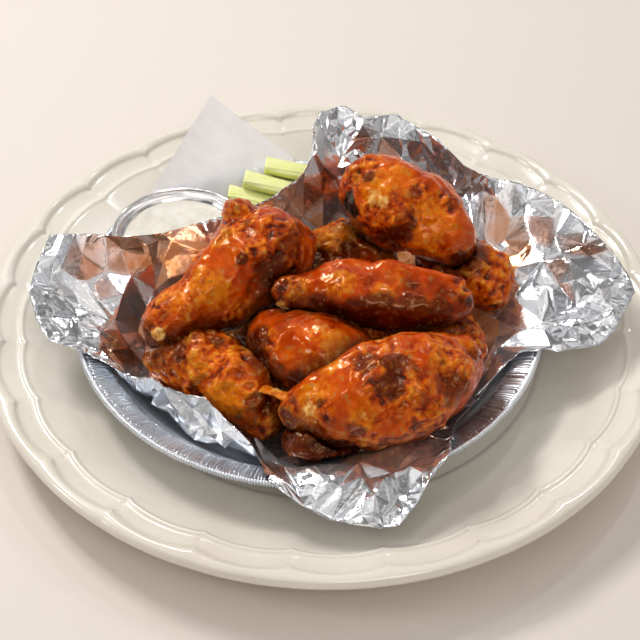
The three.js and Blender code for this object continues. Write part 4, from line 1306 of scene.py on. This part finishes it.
def sauced_crust():
    paint = Paint("sauced_crust", Subsurface_Weight=0.06, Subsurface_Scale=0.002,
                  Subsurface_Radius=(1.0, 0.3, 0.05), Specular_IOR_Level=0.5, Specular_Tint=SHEEN_TINT,
                  Coat_Weight=GLAZE_WEIGHT, Coat_IOR=1.5)
    crusty = paint.mark("crusty")
    small = paint.noise(2.6, detail=2.5, roughness=0.55)
    tint = paint.product(paint.mark("tint"), 0.2)
    smooth = paint.ramp(paint.sum(paint.noise(13, detail=3), tint), [
        (0.25, linear(158, 42, 0)), (0.5, linear(202, 74, 1)), (0.75, linear(230, 112, 2))])
    level = paint.sum(paint.mark("height"), paint.spread(small, 0.25, 0.75, -0.16, 0.16))
    # The crust's colour runs from near-black in its creases, where sauce pools and shade is painted in, up
    # to golden on its tops.
    crust = paint.ramp(paint.sum(level, tint), [
        (0.08, linear(46, 3, 0)), (0.32, linear(120, 25, 1)), (0.55, linear(190, 72, 3)),
        (0.8, linear(226, 120, 14)), (1.0, linear(238, 160, 52))])
    colour = paint.mix(paint.spread(crusty, 0.0, 0.8, 0.25, 1.0), smooth, crust)

    def share(mark, strength):
        """How much of a mark's colour shows, with its border broken up by the small noise."""
        ragged = paint.sum(paint.mark(mark), paint.spread(small, 0.3, 0.7, -0.3, 0.3))
        return paint.product(paint.spread(ragged, 0.15, 0.85), strength)

    golden = paint.clouds(small, linear(212, 110, 3), linear(236, 156, 20))
    colour = paint.mix(share("golden", 0.7), colour, golden)
    # Dark patches: darker crust, and painted shade on the wings' undersides, in holes and in gaps.
    brown_and_shade = paint.clouds(small, linear(54, 5, 0), linear(108, 22, 1))
    colour = paint.mix(share("dark_and_shade", 0.9), colour, brown_and_shade)
    # Sauce and painted shade between wings, underneath and low in the pan: a near-black red-brown.
    colour = paint.mix(paint.product(paint.mark("sauce_and_shade"), 0.95), colour, linear(44, 3, 0))
    pale = paint.clouds(small, linear(224, 158, 62), linear(244, 214, 146))
    colour = paint.mix(share("pale", 1.0), colour, pale)
    speck = paint.spread(paint.noise(1.5, detail=2), 0.62, 0.72)
    colour = paint.mix(paint.product(speck, paint.product(crusty, 0.6)), colour, linear(62, 12, 2))
    pearls = paint.product(paint.cells(2.6, "SMOOTH_F1"), crusty)
    return paint.feed(
        Base_Color=paint.mix(share("char", 1.0), colour, linear(20, 9, 6)),
        Roughness=paint.spread(small, 0.3, 0.7, 0.2, 0.34),
        Coat_Roughness=paint.spread(paint.noise(4, detail=2), 0.35, 0.65, 0.03, 0.1),
        Normal=paint.bump(paint.product(paint.noise(0.9, detail=2), crusty), 0.25),
        Coat_Normal=paint.bump(pearls, -0.42, paint.bump(paint.noise(5, detail=1), 0.3)))


# -------- cup and dip

CUP_COLUMNS = 720
CUP_TICKS = 180
CUP_TICK_DEPTH = 0.3
CUP_WALL_PLEATS = 60
# Radius and height from the rim's middle, the share of the ticks and of the wall's pleats.
CUP_SECTION = [
    (0.5, -25.8, 0, 0), (17, -25.8, 0, 0), (19, -25.6, 0, 0), (20.2, -24.6, 0, 0.3),
    (21.6, -20, 0, 1), (24.1, -12, 0, 1), (25.6, -6.2, 0, 0.8), (25.9, -4.6, 0, 0.2), (26.3, -3.6, 0, 0),
    (27.2, -2.7, 0, 0), (27.6, -2.3, 1, 0), (28.4, -1.5, 1, 0), (29.1, -0.9, 1, 0), (29.4, -0.85, 0.3, 0),
    (29.6, -1.1, 0, 0), (29.8, -0.4, 0, 0), (30.2, 0.15, 0, 0), (30.7, 0.25, 0, 0), (31, -0.1, 0, 0),
    (31.15, -0.8, 0, 0), (30.8, -1.4, 0, 0),
]
CUP_PLEAT_DEPTH = 0.14
CUP_SHEET = 0.12
# From the top of the bead to the height from which the section is measured.
CUP_BEAD_DROP = 0.4
DIP_SINK = 4.6
DIP_RADIUS = 25.9
DIP_RINGS = 40
DIP_COLUMNS = 96
# The dip's raised edge and its swirl: heights in millimetres.
DIP_EDGE = 0.7
DIP_SWIRL = 0.28
DIP_SWIRL_PITCH = 3.2
DIP_SWIRL_END = (27, 18)
# Radius and depth under the level of the rings that close the dip inside the cup.
DIP_UNDERSIDE = [(24.4, 4), (20, 18)]


def cup_centre():
    low, high = box_of("dip_cup")
    return (low + high) / 2, high[2]


def add_cup():
    middle, top = cup_centre()
    rows = smooth_rows(CUP_SECTION, 3)
    angle = circle(CUP_COLUMNS)
    tick = np.sin(angle * CUP_TICKS) * CUP_TICK_DEPTH
    pleat = np.sin(angle * CUP_WALL_PLEATS) * CUP_PLEAT_DEPTH
    height = top - CUP_BEAD_DROP + rows[:, 1:2] + rows[:, 2:3] * tick
    points = ring_points(middle, angle, rows[:, :1] + rows[:, 3:] * pleat, height)
    faces = grid_faces(len(rows), CUP_COLUMNS) + [range(CUP_COLUMNS)]
    piece = add_piece("foil_cup", points, faces, cup_metal(), ["dip_cup"])
    thin_sheet(piece, CUP_SHEET)


def cup_metal():
    paint = Paint("cup_foil", Metallic=1.0)
    return paint.feed(
        Base_Color=paint.clouds(paint.noise(12), (0.78, 0.78, 0.8), (0.92, 0.92, 0.93)),
        Roughness=paint.spread(paint.noise(4, detail=3), 0.3, 0.7, 0.1, 0.22),
        Normal=paint.bump(paint.noise(6, detail=2), 0.12))


def add_dip():
    middle, top = cup_centre()
    level = top - DIP_SINK
    angle = circle(DIP_COLUMNS)
    share = np.arange(1, DIP_RINGS + 1)[:, None] / DIP_RINGS
    surface = ring_points(middle, angle, DIP_RADIUS * share, level + DIP_EDGE * share ** 12)
    swirl = np.arctan2(surface[:, 1] - middle[1], surface[:, 0] - middle[0])
    reach = np.linalg.norm(surface[:, :2] - middle[:2], axis=1)
    wave = np.sin(swirl * 2 + reach / DIP_SWIRL_PITCH)
    surface[:, 2] += DIP_SWIRL * wave * smooth_step(*DIP_SWIRL_END, reach)
    surface[:, 2] += 0.35 * noise(surface, 6, 51) + 0.15 * noise(surface, 2.4, 52)
    radius, depth = np.array(DIP_UNDERSIDE).T[:, :, None]
    below = ring_points(middle, angle, radius, level - depth)
    points = np.vstack([surface, below, [middle[0], middle[1], level]])
    centre = len(points) - 1
    faces = grid_faces(DIP_RINGS + len(DIP_UNDERSIDE), DIP_COLUMNS)
    faces += fan_faces(centre, 0, DIP_COLUMNS) + [range(centre - DIP_COLUMNS, centre)]
    add_piece("creamy_dip", points, faces, dip_finish(), ["dip"])


def dip_finish():
    paint = Paint("creamy_dip", Subsurface_Weight=0.15, Subsurface_Scale=0.002)
    return paint.feed(
        Base_Color=paint.clouds(paint.noise(5, detail=4), linear(219, 215, 203), linear(231, 228, 219)),
        Roughness=paint.spread(paint.noise(2), 0.3, 0.7, 0.28, 0.42),
        Normal=paint.bump(paint.noise(1.6, detail=3), 0.12))


# -------- celery and paper

CELERY = ["celery_front", "celery_middle", "celery_back"]
RIB_PITCH = 1.7
RIB_HEIGHT = 0.16
CELERY_VOXEL = 0.55
PAPER_THICKNESS = 0.5
PAPER_SHEET = 0.08
PAPER_LONGEST_EDGE = 1.6
PAPER_BEND = 1.2


def add_celery(name, material):
    points, triangles = remeshed(name, CELERY_VOXEL)
    points = smoothed(points, triangles, 3)
    offset = points - points.mean(axis=0)
    along = np.linalg.svd(offset, full_matrices=False)[2][0]
    along = along * np.sign(along[0])
    side = level_side(along)
    normal = point_normals(points, triangles)
    flank = smooth_step(0.9, 0.5, np.abs(normal @ along))
    rib = np.cos(offset @ side / RIB_PITCH * math.tau) * flank
    points = points + normal * (RIB_HEIGHT * rib + 0.1 * noise(points, 3, 61))[:, None]
    # The upward faces get the paler colour: painted light from above.
    marks = {"top": smooth_step(-0.3, 0.7, normal @ np.cross(side, along)), "end": 1 - flank}
    add_piece(name + "_stick", points, triangles, material, [name], marks)


def celery_finish():
    paint = Paint("celery", Roughness=0.35, Subsurface_Weight=0.25, Subsurface_Scale=0.003,
                  Subsurface_Radius=(0.7, 1.0, 0.3))
    fibres = paint.noise(3, stretch=(0.2, 1, 1))
    side = paint.clouds(fibres, linear(214, 220, 98), linear(232, 236, 140))
    # The paler colour of the upward faces is painted light from above.
    top = paint.clouds(fibres, linear(232, 236, 156), linear(242, 245, 192))
    flesh = paint.mix(paint.mark("top"), side, top)
    return paint.feed(
        Base_Color=paint.mix(paint.mark("end"), flesh, linear(232, 240, 190)),
        Normal=paint.bump(paint.noise(0.8, detail=2), 0.08))


def add_paper():
    points, triangles = top_sheet("wax_paper", PAPER_THICKNESS)
    for _ in range(3):
        points, triangles = split_long_edges(points, triangles, PAPER_LONGEST_EDGE)
    points = smoothed(points, triangles, 12, keep=edge_points(triangles))
    points = points + point_normals(points, triangles) * (PAPER_BEND * noise(points, 26, 71))[:, None]
    piece = add_piece("wax_paper_corner", points, triangles, waxed(), ["wax_paper"])
    thin_sheet(piece, PAPER_SHEET)


def waxed():
    paint = Paint("wax_paper", Roughness=0.5, Transmission_Weight=0.45, IOR=1.2)
    return paint.feed(
        Base_Color=paint.clouds(paint.noise(8, detail=4), linear(241, 239, 240), linear(250, 249, 250)),
        Normal=paint.bump(paint.noise(3, detail=3), 0.05))


# -------- stage and light

FLOOR_COLOUR = linear(228, 220, 212)
FLOOR_REACH = 4


def add_floor():
    mesh = bpy.data.meshes.new("floor")
    corners = [(x * FLOOR_REACH, y * FLOOR_REACH, 0) for x, y in ((-1, -1), (1, -1), (1, 1), (-1, 1))]
    mesh.from_pydata(corners, [], [(0, 1, 2, 3)])
    mesh.materials.append(Paint("pale_floor", Roughness=0.6, Base_Color=(*FLOOR_COLOUR, 1)).material)
    linked("floor", mesh)


def add_light(name, place, size, power, colour=(1, 1, 1)):
    data = bpy.data.lights.new(name, "AREA")
    data.shape = "RECTANGLE"
    data.size, data.size_y = size
    data.energy = power
    data.color = colour
    light = linked(name, data)
    light.location = place
    light.rotation_euler = (LIGHT_AIM - Vector(place)).to_track_quat("-Z", "Y").to_euler()


LIGHT_AIM = Vector((0, 0, 0.03))
# Soft lights: place and size in metres, power and colour.
LIGHTS = {
    "key": ((-0.8, 0.9, 1.3), (0.4, 0.28), 11.8, (1.0, 0.99, 0.97)),
    "side": ((-1.0, -0.2, 0.7), (0.22, 0.22), 1.5, (0.98, 0.99, 1.0)),
    "front": ((0.3, -0.9, 1.1), (0.5, 0.35), 2.6, (1.0, 0.94, 0.86)),
}
# The surroundings as the foil mirrors them: a dim warm room, brighter towards the horizon, a
# ceiling panel, and soft patches of light above a plain backdrop.
ROOM_LIGHT = 0.12
ROOM_COLOUR = (1.0, 0.94, 0.88, 1)
HORIZON_LIGHT = 0.35
PANEL_DIRECTION = (0.1, -0.3, 0.95)
PANEL_LIGHT = 0.6
PANEL_COLOUR = (1.0, 0.975, 0.95, 1)
PATCH_LIGHT = 0.7
PATCHES_ABOVE = 0.24
# Small lamps whose images sparkle in the glaze.
GLINT_PLACES = [(0.3, 0.55), (-0.15, 0.62), (-0.45, 0.3)]
GLINT_HEIGHT = 0.85
GLINT_SIZE = (0.045, 0.045)
GLINT_POWER = 0.7
# Below 1, the middle and dark tones of the picture get deeper.
PICTURE_GAMMA = 0.88


def add_lights():
    for name, settings in LIGHTS.items():
        add_light(name, *settings)
    for k, (x, y) in enumerate(GLINT_PLACES):
        add_light(f"glint_{k}", (x, y, GLINT_HEIGHT), GLINT_SIZE, GLINT_POWER)


def add_studio():
    world = bpy.data.worlds.new("studio")
    world.use_nodes = True
    studio = Nodes(world.node_tree)
    place = studio.node("ShaderNodeTexCoord").outputs["Generated"]
    panel = studio.node("ShaderNodeVectorMath", {0: place, 1: PANEL_DIRECTION}, operation="DOT_PRODUCT")
    glow = studio.spread(panel.outputs["Value"], 0.75, 0.97, 0.0, PANEL_LIGHT)
    rise = studio.node("ShaderNodeSeparateXYZ", {0: place}).outputs["Z"]
    haze = studio.spread(rise, 0.1, 0.42, HORIZON_LIGHT, 0.0)
    above = studio.spread(rise, PATCHES_ABOVE, PATCHES_ABOVE + 0.16)
    spots = studio.node("ShaderNodeTexNoise", {"Vector": place, "Scale": 4.0, "Detail": 1.0})
    patch = studio.product(studio.spread(spots.outputs["Fac"], 0.46, 0.58, 0.0, PATCH_LIGHT), above)
    bright = studio.sum(studio.sum(glow, patch), haze)
    panels = studio.node("ShaderNodeBackground", {"Strength": bright, "Color": PANEL_COLOUR})
    room = studio.tree.nodes["Background"]
    studio.set(room.inputs["Color"], ROOM_COLOUR)
    studio.set(room.inputs["Strength"], ROOM_LIGHT)
    both = studio.node("ShaderNodeAddShader", {0: room.outputs[0], 1: panels.outputs[0]})
    studio.set(studio.tree.nodes["World Output"].inputs["Surface"], both.outputs[0])
    bpy.context.scene.world = world
    bpy.context.scene.view_settings.view_transform = "Standard"
    bpy.context.scene.view_settings.gamma = PICTURE_GAMMA


# -------- assembly

add_camera()
add_floor()
add_lights()
add_studio()
add_plate()
add_pan()
add_foil()
crust = sauced_crust()
wing_trees = {wing_name: node_tree(wing_name) for wing_name in WINGS}
for wing_seed, wing_name in enumerate(WINGS, FIRST_WING_SEED):
    add_wing(wing_name, wing_seed, crust, wing_trees)
add_skin_strip(crust, wing_trees)
add_cup()
add_dip()
celery = celery_finish()
for stick_name in CELERY:
    add_celery(stick_name, celery)
add_paper()
